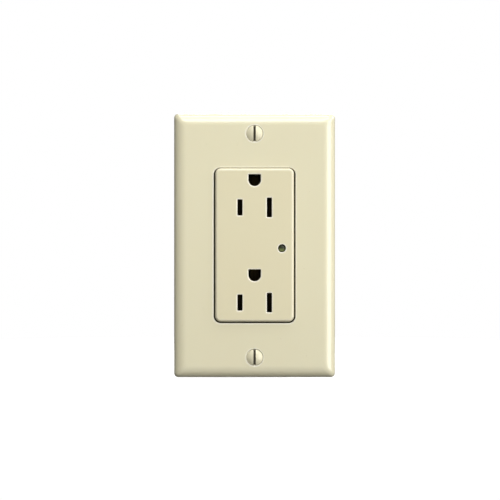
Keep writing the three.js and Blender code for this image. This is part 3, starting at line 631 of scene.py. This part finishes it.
BARRIER_SHEET = fibre("barrier_sheet", (0.16, 0.165, 0.17))
BOARD_MASK = solder_mask("solder_mask")
VARISTOR_BLUE = dipped_epoxy("varistor_blue", (0.02, 0.12, 0.42))
TINNED = turned_metal("tinned_metal", (0.72, 0.72, 0.7), (0.55, 0.54, 0.5), 0.24)
LEADS = {
    "hot_lead": ("wire_black", dipped_epoxy("insulation_black", (0.02, 0.02, 0.022))),
    "neutral_lead": ("wire_white", dipped_epoxy("insulation_white", (0.72, 0.71, 0.68))),
    "ground_lead": ("wire_green", dipped_epoxy("insulation_green", (0.02, 0.24, 0.07))),
}

# ---------------- wallplate


def plate_outline(inset, y):
    """The plate's outline at a depth, drawn in by an inset."""
    return at_depth(rectangle(PLATE_WIDTH - 2 * inset, PLATE_HEIGHT - 2 * inset, PLATE_CORNER), y)


def plate_rings():
    """The plate's section: rim, rolled edge, front, the opening's wall, and back along the hollow."""
    rim, rim_step, lip = 0.25, 0.07, 0.45
    rings = [plate_outline(rim, WALL_PLANE), plate_outline(rim_step, WALL_PLANE - rim_step)]
    rings.append(plate_outline(0.0, WALL_PLANE - rim))
    for t in arc_steps(16):
        inset = PLATE_EDGE_RUN * (1 - max(0.0, math.cos(t)) ** PLATE_EDGE_SLOPE)
        rings.append(plate_outline(inset, PLATE_FRONT + PLATE_EDGE_DROP * (1 - math.sin(t))))
    rings.append(plate_outline(PLATE_EDGE_RUN + 0.6, PLATE_FRONT))

    opening = rectangle(OPENING_WIDTH + 0.2, OPENING_HEIGHT, OPENING_CORNER)
    rings.append(at_depth(grow(opening, lip + 0.5), PLATE_FRONT))
    for t in arc_steps(6):
        outline = grow(opening, lip * (1 - math.sin(t)))
        rings.append(at_depth(outline, PLATE_FRONT + lip * (1 - math.cos(t))))
    rings.append(at_depth(opening, PLATE_INSIDE - 0.1))
    rings.append(at_depth(grow(opening, 0.1), PLATE_INSIDE))

    rings.append(plate_outline(PLATE_EDGE_RUN + 3, PLATE_INSIDE))
    rings.append(plate_outline(PLATE_EDGE_RUN - 0.4, PLATE_INSIDE + 0.1))
    rings.append(plate_outline(PLATE_EDGE_RUN - 2.0, PLATE_INSIDE + 0.9))
    rings.append(plate_outline(PLATE_WALL + 0.15, PLATE_INSIDE + 2.0))
    rings.append(plate_outline(PLATE_WALL, WALL_PLANE - 0.2))
    rings.append(plate_outline(PLATE_WALL - 0.15, WALL_PLANE))
    return rings


def wallplate():
    """A hollow moulded plate with a rib on each side and two countersunk screw holes in their hubs."""
    piece = to_object(skin(plate_rings(), closed=True), "wallplate_shell")
    rib_x, rib_half, rib_end, hub_radius = 25.5, 0.45, 44.0, 2.9
    buried = PLATE_INSIDE - 0.3
    solids = []
    for side in (-1, 1):
        low = (side * rib_x - rib_half, buried, -rib_end)
        high = (side * rib_x + rib_half, WALL_PLANE - 1.5, rib_end)
        solids.append(block(low, high))
    for sign in ENDS.values():
        hub = circle(hub_radius, 0, sign * PLATE_SCREW_Z)
        solids.append(slab(hub, buried, STRAP_FRONT - 0.2))
    join(piece, solids)
    countersink = [(3.95, -1.0), (3.95, 0.0), (3.78, 0.03), (3.66, 0.12), (1.95, 2.0), (1.95, 8.0)]
    holes = []
    for sign in ENDS.values():
        place = Matrix.Translation((0, PLATE_FRONT, sign * PLATE_SCREW_Z))
        holes.append(moved(lathe(countersink), place))
    cut(piece, holes)
    dress(piece, "wallplate", "ivory_plastic", IVORY_PLATE, "wallplate")


# ---------------- front cover


def slots():
    """The collar outline, hole outline and mouth rounding of every ground hole and blade slot."""
    for blade_z in OUTLET_Z.values():
        ground_z = blade_z + GROUND_ABOVE_BLADES
        yield ground_hole(ground_z, SLOT_COLLAR), ground_hole(ground_z), 0.4
        for side in POLES.values():
            outline = rectangle(SLOT_WIDTH, SLOT_HEIGHT[side], 0.18, side * BLADE_X, blade_z, 3)
            yield grow(outline, SLOT_COLLAR), outline, 0.35


def front_cover():
    """The device face, rounded over at its edges and slots, with the flange and columns behind it."""
    face = rectangle(FACE_WIDTH - 0.2, FACE_HEIGHT, FACE_CORNER, 0, FACE_RAISED)
    rings = [at_depth(grow(face, -FACE_EDGE - 0.5), 0)]
    rings += end_rings(face, 0, FACE_EDGE, 1, 12)
    rings.append(at_depth(face, COVER_BACK - 0.4))
    piece = to_object(skin(rings), "device_face")
    width, height = COVER_HIGH.x - COVER_LOW.x, COVER_HIGH.z - COVER_LOW.z
    flange_outline = rectangle(width, height, FLANGE_CORNER)
    flange = slab(flange_outline, COVER_BACK - FLANGE_THICK, COVER_BACK, 0.25, 0.05)
    columns = corner_rods(2.3, 40, COVER_BACK - 0.8, COVER_HIGH.y)
    join(piece, [flange] + columns)
    inside = rectangle(FACE_WIDTH - 2 * FACE_SIDE, FACE_HEIGHT - 2 * FACE_SIDE, 1.2)
    pocket = to_object(slab(inside, FACE_WALL, COVER_BACK + 1), "pocket")
    collars, cuts = [], []
    for collar, hole, softness in slots():
        collars.append(slab(collar, 0, COVER_BACK + 2))
        cuts.append(mouth(hole, 0, COVER_BACK + 2, softness))
    cut(pocket, collars)
    combine(piece, [pocket], "DIFFERENCE")
    cuts.append(mouth(circle(LIGHT_HOLE, LIGHT_X, LIGHT_Z, 48), 0, FACE_WALL + 0.5, 0.22))
    cuts += corner_rods(1.1, 32, STRAP_FRONT + 1, COVER_HIGH.y + 1)
    cut(piece, cuts)
    dress(piece, "root", "ivory_face", IVORY_FACE, "front_cover")


# ---------------- screws


def threaded(radius, start, end, count):
    """Rings of a right-hand thread of one pitch from start to end along +Y."""
    depth = 0.54 * THREAD_PITCH
    per_pitch = 8
    rings = []
    steps = int((end - start) / THREAD_PITCH * per_pitch)
    for i in range(steps + 1):
        y = start + (end - start) * i / steps
        fade = min(1.0, (y - start) / THREAD_PITCH * 1.4 + 0.15)
        ring = []
        for k in range(count):
            phase = (y / THREAD_PITCH + k / count) % 1.0
            flank = min(1.0, max(0.0, 1.35 * abs(2 * phase - 1) - 0.15))
            r = radius - depth * fade * (1 - flank)
            turn = k / count * FULL_TURN
            ring.append(Vector((r * math.cos(turn), y, r * math.sin(turn))))
        rings.append(ring)
    return rings


def screw(name, head, shank, length, slot_width, slot_floor, count=48, cross=False):
    """A screw along +Y from its head profile, its shank radius and its length, with a driver slot along Z."""
    rings = turned_rings(head, count)
    rings += threaded(shank, head[-1][1] + 0.15, length - 0.7, count)
    rings += turned_rings([(shank - 0.75, length)], count)
    piece = to_object(skin(rings), name)
    reach = max(radius for radius, _ in head) + 1
    top = min(y for _, y in head)
    slot = rectangle(slot_width, 2 * reach, 0.05, steps=1)
    cut(piece, [slab(slot, top - 1, slot_floor)])
    if cross:
        slot = rectangle(2 * reach * 0.42, slot_width, 0.05, steps=1)
        cut(piece, [slab(slot, top - 1, slot_floor - 0.1)])
    return piece


def dome_head(rim, dome, cone_depth, neck):
    """The profile of an oval head whose rim is at y = 0."""
    sphere = (rim * rim + dome * dome) / (2 * dome)
    steps = 14
    profile = []
    for i in range(1, steps + 1):
        radius = rim * i / steps * 0.985
        profile.append((radius, -dome + sphere - math.sqrt(sphere * sphere - radius * radius)))
    profile += [(rim * 0.997, -0.06), (rim, 0.02), (rim * 0.985, 0.12), (neck, cone_depth)]
    return profile


def pan_head(radius, height, neck):
    """The profile of a low rounded head whose underside is at y = 0."""
    profile = []
    for t in arc_steps(9)[1:]:
        profile.append((radius * (0.62 + 0.38 * math.sin(t)), -height * (0.42 + 0.58 * math.cos(t))))
    profile += [(radius, -0.12), (radius - 0.1, 0.0), (neck + 0.05, 0.0), (neck, 0.06)]
    return profile


def plate_screws():
    """The enamelled oval-head screws that hold the wallplate."""
    for end, sign in ENDS.items():
        name = f"wallplate_screw_{end}"
        head = dome_head(3.5, 1.1, 1.9, 1.7)
        piece = screw(f"{name}_body", head, THREAD_RADIUS, INCH / 2, PLATE_SCREW_SLOT, 0.5)
        set_in_place(piece, (0, PLATE_FRONT, sign * PLATE_SCREW_Z))
        dress(piece, name, "ivory_paint", IVORY_ENAMEL, name)


def box_screws():
    """The two mounting screws, each turned a little from upright."""
    for end, sign in ENDS.items():
        name = f"mounting_screw_{end}"
        head = pan_head(3.4, 1.6, 1.7)
        piece = screw(f"{name}_body", head, THREAD_RADIUS, INCH, 0.9, -0.8, cross=True)
        turn = Matrix.Rotation(math.radians(28 * sign), 4, "Y")
        set_in_place(piece, (0, COVER_BACK, sign * BOX_SCREW_Z), turn)
        dress(piece, name, "zinc_steel", ZINC_SCREW, name)


def housing_screws():
    """The four screws driven in from the back, each turned differently."""
    head_height, shank = 1.3, 0.95
    for number in range(1, 5):
        node = f"housing_screw_{number}"
        low, high = box_mm(node)
        head_face = high.y - head_height
        head = pan_head(2.2, head_height, shank)
        piece = screw(f"{node}_body", head, shank, head_face - low.y, 0.6, -0.6, 40, True)
        turn = Matrix.Rotation(math.pi, 4, "X") @ Matrix.Rotation(math.radians(37 * number), 4, "Y")
        centre = (low + high) / 2
        set_in_place(piece, (centre.x, head_face, centre.z), turn)
        dress(piece, "root", "zinc_steel", ZINC_SCREW, node)


def terminal_screws():
    """Slotted binding screws, their heads outward on the sides of the device."""
    looks = {
        "hot": ("brass_screw", BRASS_SCREW),
        "neutral": ("silver_screw", NICKEL_SCREW),
        "ground": ("green_screw", GREEN_SCREW),
    }
    head_height, shank = 2.2, 2.0
    for prefix, kind, side in TERMINALS:
        node = f"{prefix}_terminal_screw"
        low, high = box_mm(node)
        underside = high.x - head_height if side > 0 else low.x + head_height
        piece = screw(f"{node}_body", pan_head(4.0, head_height, shank), shank, 8.0, 1.1, -1.1, 56)
        centre = (low + high) / 2
        set_in_place(piece, (underside, centre.y, centre.z), turned_to(side))
        dress(piece, node, *looks[kind], node)


# ---------------- pressure plates, retainers and clip


def pressure_plates():
    """Square plates with biting ridges on the side that grips the wire."""
    looks = {"hot": ("brass_screw", BRASS), "neutral": ("silver_screw", ZINC), "ground": ("zinc_steel", ZINC)}
    ridge_half, ridge_height, hole_radius = 0.3, 0.6, 2.12
    for prefix, kind, side in TERMINALS:
        node = f"{prefix}_pressure_plate"
        low, high = box_mm(node)
        thick, size = high.x - low.x, high.z - low.z
        outline = rectangle(size, size, 0.7)
        piece = to_object(slab(outline, 0.25, thick, 0.12, 0.12, 3), f"{node}_body")
        ridges = []
        for z in (-3.4, -2.5, 2.5, 3.4):
            reach = size / 2 - 0.6
            ridges.append(block((-reach, 0, z - ridge_half), (reach, ridge_height, z + ridge_half)))
        join(piece, ridges)
        cut(piece, [slab(circle(hole_radius, count=40), -1, thick + 1)])
        flatten_seams(piece)
        centre = (low + high) / 2
        outer = high.x if side > 0 else low.x
        set_in_place(piece, (outer, centre.y, centre.z), turned_to(side))
        dress(piece, node, *looks[kind], node)


def retainers():
    """Fibre washers that keep the mounting screws in their slots."""
    for end in ENDS:
        node = f"screw_retainer_{end}"
        low, high = box_mm(node)
        z = (low.z + high.z) / 2
        outline = rectangle(high.x - low.x, high.z - low.z, 0.9, 0, z)
        piece = to_object(slab(outline, low.y, high.y, 0.12, 0.12, 3), f"{node}_body")
        cut(piece, [slab(circle(1.85, 0, z, 40), low.y - 1, high.y + 1)])
        dress(piece, "root", "fibre", FIBRE, node)


# ---------------- mounting strap


def mounting_strap():
    """The zinc plated strap: a long bridge, two pierced ears at each end, and a bent ground tab."""
    neck_half, body_half, body_end = 10.2, 14.4, 36.2
    ear_x, ear_z, ear_radius, ear_arm = 12.9, 49.3, 3.9, 1.4
    tab_low, tab_high = GROUND_TAB_Z - GROUND_TAB_HALF, GROUND_TAB_Z + GROUND_TAB_HALF
    tab_outer, bend = 16.5, 1.9

    def sheet(outline, beyond=0):
        """An outline through the strap's thickness, and beyond it on both sides."""
        return slab(outline, STRAP_FRONT - beyond, WALL_PLANE + beyond)

    neck = rectangle(2 * neck_half, STRAP_HIGH.z - STRAP_LOW.z, 2.5)
    piece = to_object(sheet(neck), "strap_plate")
    solids = [sheet(rectangle(2 * body_half, 2 * body_end, 1.0))]
    cuts = []
    for sign in ENDS.values():
        for side in (-1, 1):
            solids.append(sheet(circle(ear_radius, side * ear_x, sign * ear_z)))
            low_x, high_x = sorted((side * (neck_half - 1), side * ear_x))
            low = (low_x, STRAP_FRONT, sign * ear_z - ear_arm)
            solids.append(block(low, (high_x, WALL_PLANE, sign * ear_z + ear_arm)))
            cuts.append(sheet(circle(1.7, side * ear_x, sign * ear_z, 40), 1))
        cuts.append(sheet(circle(1.9, 0, sign * PLATE_SCREW_Z, 40), 1))
        cuts.append(sheet(rectangle(6.6, 4, 1.95, 0, sign * BOX_SCREW_Z), 1))
    solids.append(block((neck_half - 1, STRAP_FRONT, tab_low), (tab_outer - bend, WALL_PLANE, tab_high)))
    solids.append(bent_tab(tab_outer, bend, tab_low, tab_high))
    join(piece, solids)
    for blade_z in OUTLET_Z.values():
        for side in POLES.values():
            cuts.append(sheet(rectangle(5, 11, 0.8, side * BLADE_X, blade_z), 1))
        cuts.append(sheet(circle(3.8, 0, blade_z + GROUND_ABOVE_BLADES), 1))
    cuts.append(sheet(circle(2.0, LIGHT_X, LIGHT_Z, 40), 1))
    cuts.append(sheet(circle(1.55, 0, GROUND_RIVET_Z, 32), 1))
    place = Matrix.Translation((tab_outer, GROUND_TAB_Y, GROUND_TAB_Z))
    cuts.append(moved(slab(circle(2.15, count=40), -3, 3), place @ turned_to(1)))
    cut(piece, cuts)
    flatten_seams(piece)
    soften(piece, 0.12)
    dress(piece, "root", "zinc_steel", ZINC, "mounting_strap")


def bent_tab(outer, bend, low, high):
    """The ground tab: it leaves the strap along +X, turns and runs along +Y."""
    thick = WALL_PLANE - STRAP_FRONT
    start, end = outer - bend - 1.5, STRAP_HIGH.y
    centre = Vector((outer - bend, STRAP_FRONT + bend))
    outline = [(start, STRAP_FRONT), (outer - bend, STRAP_FRONT)]
    for t in arc_steps(8)[1:]:
        outline.append((centre.x + bend * math.sin(t), centre.y - bend * math.cos(t)))
    outline += [(outer, end), (outer - thick, end)]
    small = bend - thick
    for t in reversed(arc_steps(8)):
        outline.append((centre.x + small * math.sin(t), centre.y - small * math.cos(t)))
    outline.append((start, WALL_PLANE))
    return skin([[Vector((x, y, z)) for x, y in outline] for z in (low, high)])


# ---------------- rear housing


def terminal_openings(side, z, inner_back, back):
    """At one terminal: the window in the side, two wire entries and a release slot in the back."""
    window = mouth(rectangle(TERMINAL_WINDOW, TERMINAL_WINDOW, 0.7, steps=5), 0, 2.8, 0.5)
    place = Matrix.Translation((side * HOUSING_HIGH.x, TERMINAL_Y, z))
    cuts = [moved(window, place @ turned_to(side))]
    for offset in (-2.6, 2.6):
        entry = circle(1.3, side * 17.6, z + offset, 40)
        cuts.append(mouth(entry, back, inner_back - 1, 0.55, side=-1))
    release = rectangle(1.3, 4.4, 0.3, side * 13.4, z, 3)
    cuts.append(mouth(release, back, back - 1.0, 0.2, side=-1))
    return cuts


def rear_housing():
    """The dark tub: rounded back, terminal windows, wire entries, screw wells and a wire strip gauge."""
    front, back = HOUSING_LOW.y, HOUSING_HIGH.y
    width, height = HOUSING_HIGH.x - HOUSING_LOW.x, HOUSING_HIGH.z - HOUSING_LOW.z
    wall, column_front = 1.8, 16.2
    inner_back = back - wall
    outline = rectangle(width, height, FLANGE_CORNER)
    piece = to_object(slab(outline, front, back, 0.15, 1.6, 8), "housing_tub")
    hollow = slab(rectangle(width - 2 * wall, height - 2 * wall, 0.6), front - 1, inner_back)
    cut(piece, [hollow])
    solids = corner_rods(2.6, 48, column_front, inner_back + 0.5)
    for side_x, side_z in CORNERS:
        stud = circle(1.6, side_x * 12.6, side_z * 25, 32)
        solids.append(slab(stud, 29.5, inner_back + 0.5))
    join(piece, solids)
    cuts = [block((-14.6, front - 1, -height), (14.6, WALL_PLANE + 0.1, height))]
    for side in POLES.values():
        for sign in ENDS.values():
            cuts += terminal_openings(side, sign * TERMINAL_Z, inner_back, back)
    for side_x, side_z in CORNERS:
        well = circle(2.45, side_x * CORNER_SCREW_X, side_z * CORNER_SCREW_Z, 48)
        cuts.append(mouth(well, back, back - 2.2, 0.25, side=-1))
    cut(piece, cuts)
    cuts = corner_rods(1.25, 32, column_front - 1, back + 1)
    cuts.append(mouth(rectangle(20, 22, 1.2), back, back - 0.35, 0.2, side=-1))
    cuts.append(mouth(rectangle(14.5, 1.5, 0.7, 0, -24), back, back - 0.7, 0.15, side=-1))
    cut(piece, cuts)
    dress(piece, "root", "charcoal_plastic", HOUSING_DARK, "rear_housing")


# ---------------- light


def lens(depth):
    """The profile of a rounded front as wide as the light."""
    return [(LIGHT_RADIUS * math.sin(t), depth * (1 - math.cos(t))) for t in arc_steps(10)[1:]]


def light_part(name, profile, slot, material, node):
    """A turned part on the light's axis, from the front of its node."""
    piece = to_object(lathe(profile, 48), name)
    set_in_place(piece, (LIGHT_X, box_mm(node)[0].y, LIGHT_Z))
    dress(piece, "root", slot, material, node)


def light_parts():
    """The clear pipe that reaches the face, and the small lamp behind it."""
    low, high = box_mm("indicator_light_pipe")
    length = high.y - low.y
    pipe = lens(0.55)
    pipe += [(LIGHT_RADIUS, 1.45), (1.6, 1.5), (2.2, 1.5), (2.3, 1.6), (2.3, 2.5), (2.2, 2.6)]
    pipe += [(LIGHT_RADIUS, 2.6), (LIGHT_RADIUS, length - 0.1), (LIGHT_RADIUS - 0.1, length)]
    light_part("light_pipe_rod", pipe, "light_pipe", PIPE_RESIN, "indicator_light_pipe")
    lamp = lens(1.5)
    lamp += [(LIGHT_RADIUS, 3.0), (1.6, 3.08), (1.8, 3.1), (1.85, 3.2), (1.85, 3.9), (1.75, 4.0)]
    light_part("led_lamp", lamp, "led_resin", LED_RESIN, "indicator_led")


# ---------------- board components


def varistors():
    """Dipped discs with rounded rims, each on two pins."""
    rim, pin_x, standoff = 1.6, 3.7, 0.6
    for node in ("varistor_line_neutral", "varistor_line_ground", "varistor_neutral_ground"):
        low, high = box_mm(node)
        flat = (high.x - low.x) / 2 - rim
        start = low.y + standoff
        thick = high.y - start
        front = [(flat + rim * math.sin(t), thick / 2 * (1 - math.cos(t))) for t in arc_steps(10)]
        back = [(radius, thick - y) for radius, y in reversed(front[:-1])]
        piece = to_object(lathe(front + back), f"{node}_disc")
        pins = [slab(circle(0.4, x, 0, 16), -standoff, 1.2) for x in (-pin_x, pin_x)]
        join(piece, pins)
        centre = (low + high) / 2
        set_in_place(piece, (centre.x, start, centre.z))
        dress(piece, "root", "varistor_coat", VARISTOR_BLUE, node)


def axial_part(node, slot, body_radius, body_length, material):
    """A rounded tubular component along Z with bent leads."""
    low, high = box_mm(node)
    centre = (low + high) / 2
    y = high.y - body_radius
    half, edge = body_length / 2, 0.35
    upper = [(body_radius * 0.94, half - 1.0)]
    for t in reversed(arc_steps(6)):
        upper.append((body_radius - edge * (1 - math.sin(t)), half - edge * (1 - math.cos(t)) + 0.1))
    upper += [(body_radius - 2 * edge, half + 0.45), (0.4, half + 0.55)]
    profile = [(radius, -z) for radius, z in reversed(upper)] + upper
    piece = to_object(moved(lathe(profile, 40), Matrix.Rotation(math.pi / 2, 4, "X")), f"{node}_body")
    reach, bend, wire = (high.z - low.z) / 2 - 0.35, 0.8, 0.33
    path = [Vector((0, low.y - y, -reach))]
    for t in arc_steps(5):
        path.append(Vector((0, -bend + bend * math.sin(t), -reach + bend * (1 - math.cos(t)))))
    path += [Vector((p.x, p.y, -p.z)) for p in reversed(path)]
    join(piece, [tube(path, wire, 14)])
    set_in_place(piece, (centre.x, y, centre.z))
    dress(piece, "root", slot, material, node)


def tube(path, radius, count):
    """A round wire along a path."""
    rings = []
    side = Vector((1, 0, 0))
    for i, point in enumerate(path):
        ahead = (path[min(i + 1, len(path) - 1)] - path[max(i - 1, 0)]).normalized()
        across = (side - ahead * side.dot(ahead)).normalized()
        third = ahead.cross(across)
        turns = (k / count * FULL_TURN for k in range(count))
        rings.append([point + radius * (math.cos(t) * across + math.sin(t) * third) for t in turns])
    return skin(rings)


def axial_parts():
    """The thermal fuse, and the resistor and diode with their painted bands."""
    axial_part("thermal_fuse", "tinned_metal", 1.9, 8.0, TINNED)
    black, brown, orange = (0.03, 0.03, 0.03), (0.35, 0.06, 0.02), (0.6, 0.2, 0.02)
    gold, silver = (0.55, 0.4, 0.1), (0.6, 0.6, 0.6)
    resistor_bands = [(-1.9, 0.3, black), (-0.8, 0.3, brown), (0.3, 0.3, orange), (1.9, 0.3, gold)]
    for node, slot, radius, length, colour, bands in (
        ("led_resistor", "resistor_body", 1.1, 5.6, (0.6, 0.42, 0.22), resistor_bands),
        ("led_diode", "diode_body", 1.2, 4.2, (0.02, 0.02, 0.022), [(-1.3, 0.35, silver)]),
    ):
        low, high = box_mm(node)
        axial_part(node, slot, radius, length, banded(slot, colour, bands, (low.z + high.z) / 2))


def leads():
    """Insulated jumpers with a bare tinned end at each side."""
    for node, (slot, material) in LEADS.items():
        low, high = box_mm(node)
        centre = (low + high) / 2
        radius = (high.x - low.x) / 2
        length = high.y - low.y
        bare = radius * 0.5
        profile = [(radius * 0.45, 0), (bare, 0.05), (bare, 0.5), (radius * 0.9, 0.5), (radius, 0.6)]
        profile += [(r, length - y) for r, y in reversed(profile)]
        piece = to_object(lathe(profile, 32), f"{node}_wire")
        set_in_place(piece, (centre.x, low.y, centre.z))
        dress(piece, "root", slot, material, node)


# ---------------- sheet parts refined from their CAD solids


def refined(node, body, slot, material, edge):
    """A CAD solid of flat faces, with its seams removed and its edges softened."""
    piece = new_object(f"{node}_sheet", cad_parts[node].data.copy())
    flatten_seams(piece, 1.0)
    soften(piece, edge)
    dress(piece, body, slot, material, node)


def sheet_parts():
    """Strips, leaves, board and barrier, as in the CAD but with softened edges."""
    for node in ("hot_bus", "neutral_bus", "ground_strip"):
        refined(node, "root", "brass_strip", BRASS, 0.1)
    refined("grounding_clip", "root", "brass_strip", BRASS, 0.06)
    refined("insulating_barrier", "root", "grey_plastic", BARRIER_SHEET, 0.12)
    refined("circuit_board", "root", "board", BOARD_MASK, 0.08)
    refined("ground_rivet", "root", "zinc_steel", ZINC_SCREW, 0.08)
    for end in ENDS:
        leaves = [f"{pole}_contact_leaf_{end}" for pole in POLES]
        leaves += [f"ground_contact_leaf_{end}_{side}" for side in ("left", "right")]
        for leaf in leaves:
            refined(leaf, leaf, "brass_strip", BRASS, 0.08)


# ---------------- stage

STUDIO_LEVEL = 0.2
STUDIO_SLOPE = (0.07, 0, 0.05)
STUDIO_LOWEST = 0.03


def soft_light(name, place, size, power):
    """A rectangular light that faces the middle of the device and is not seen by the camera."""
    light = bpy.data.lights.new(name, "AREA")
    light.shape = "RECTANGLE"
    light.size, light.size_y = size
    light.energy = power
    lamp = new_object(name, light)
    lamp.location = place
    lamp.rotation_mode = "QUATERNION"
    lamp.visible_camera = False
    lamp.rotation_quaternion = (-Vector(place)).to_track_quat("-Z", "Y")


def surroundings():
    """White to the camera, and for all other rays a soft studio that brightens up and to the right."""
    world = bpy.data.worlds.new("studio")
    bpy.context.scene.world = world
    world.use_nodes = True
    tree = world.node_tree
    tree.nodes.clear()
    direction = add_node(tree, "TexCoord", {}).outputs["Generated"]
    slope = add_node(tree, "VectorMath", {0: direction, 1: STUDIO_SLOPE}, operation="DOT_PRODUCT")
    level = add_node(tree, "Math", {0: slope.outputs["Value"], 1: STUDIO_LEVEL}, operation="ADD")
    lowest = add_node(tree, "Math", {0: level.outputs[0], 1: STUDIO_LOWEST}, operation="MAXIMUM")
    lit = add_node(tree, "Background", {"Strength": lowest.outputs[0]}).outputs[0]
    seen = add_node(tree, "Background", {"Color": (1, 1, 1, 1)}).outputs[0]
    to_camera = add_node(tree, "LightPath", {}).outputs["Is Camera Ray"]
    mixed = add_node(tree, "MixShader", {"Fac": to_camera, 1: lit, 2: seen}).outputs[0]
    add_node(tree, "OutputWorld", {"Surface": mixed})


def pale_floor():
    """A pale round floor just under the plate, fading out to nothing before its edge."""
    radius, centre_y, below = 420, 15, 0.6
    fade_start, fade_end = 120, 330
    level = PLATE_LOW.z - below
    solid = bmesh.new()
    ring = [solid.verts.new((p.x, p.y + centre_y, level)) for p in circle(radius, count=96)]
    solid.faces.new(ring)
    floor = to_object(solid, "floor")
    finish = Finish("pale_floor", (0.93, 0.93, 0.92), 0.7)
    finish.tint(finish.spread(finish.noise(0.02, 3), 0.3, 0.7, 0, 0.3), (0.9, 0.9, 0.895))
    away = finish.vector_math("LENGTH", {0: finish.stretched((1, 1, 0))}).outputs["Value"]
    finish.set(Emission_Color=(1, 1, 1, 1), Emission_Strength=0.45)
    fade = finish.spread(away, fade_start, fade_end, 1, 0)
    finish.drive("Alpha", fade)
    floor.data.materials.append(finish.material)
    floor.visible_diffuse = False
    floor.visible_glossy = False


def camera():
    """A long lens straight in front, framed wide, with the plate a little high and to the right."""
    frame_width, lens_length, sensor = 217.2, 110.0, 36.0
    aim_x, aim_z = -1.98, -1.95
    data = bpy.data.cameras.new("camera")
    data.lens, data.sensor_width = lens_length, sensor
    data.clip_start, data.clip_end = 0.01, 20
    view = new_object("camera", data)
    distance = frame_width * lens_length / sensor
    view.location = Vector((aim_x, PLATE_FRONT + PLATE_EDGE_DROP - distance, aim_z)) * MM
    view.rotation_euler = (math.pi / 2, 0, 0)
    bpy.context.scene.camera = view


def studio():
    """Six soft lights, a floor, a camera and a plain colour transform."""
    surroundings()
    soft_light("right", (2.75, -2.9, 0.2), (2.4, 3.2), 97)
    soft_light("top", (0.2, -3.0, 2.65), (3.2, 1.7), 88)
    soft_light("side", (3.4, -0.9, 2.2), (1.6, 1.6), 46)
    soft_light("above", (0.2, -0.9, 4.0), (2.4, 1.4), 62)
    soft_light("front", (0, -3.6, -1.8), (3, 3), 13)
    soft_light("back", (0.3, 2.0, 0.9), (1.2, 1.2), 34)
    pale_floor()
    camera()
    scene = bpy.context.scene
    scene.view_settings.view_transform = "Standard"
    scene.view_settings.look = "None"


# ---------------- build

wallplate()
front_cover()
plate_screws()
box_screws()
housing_screws()
terminal_screws()
pressure_plates()
retainers()
mounting_strap()
rear_housing()
light_parts()
varistors()
axial_parts()
leads()
sheet_parts()
studio()
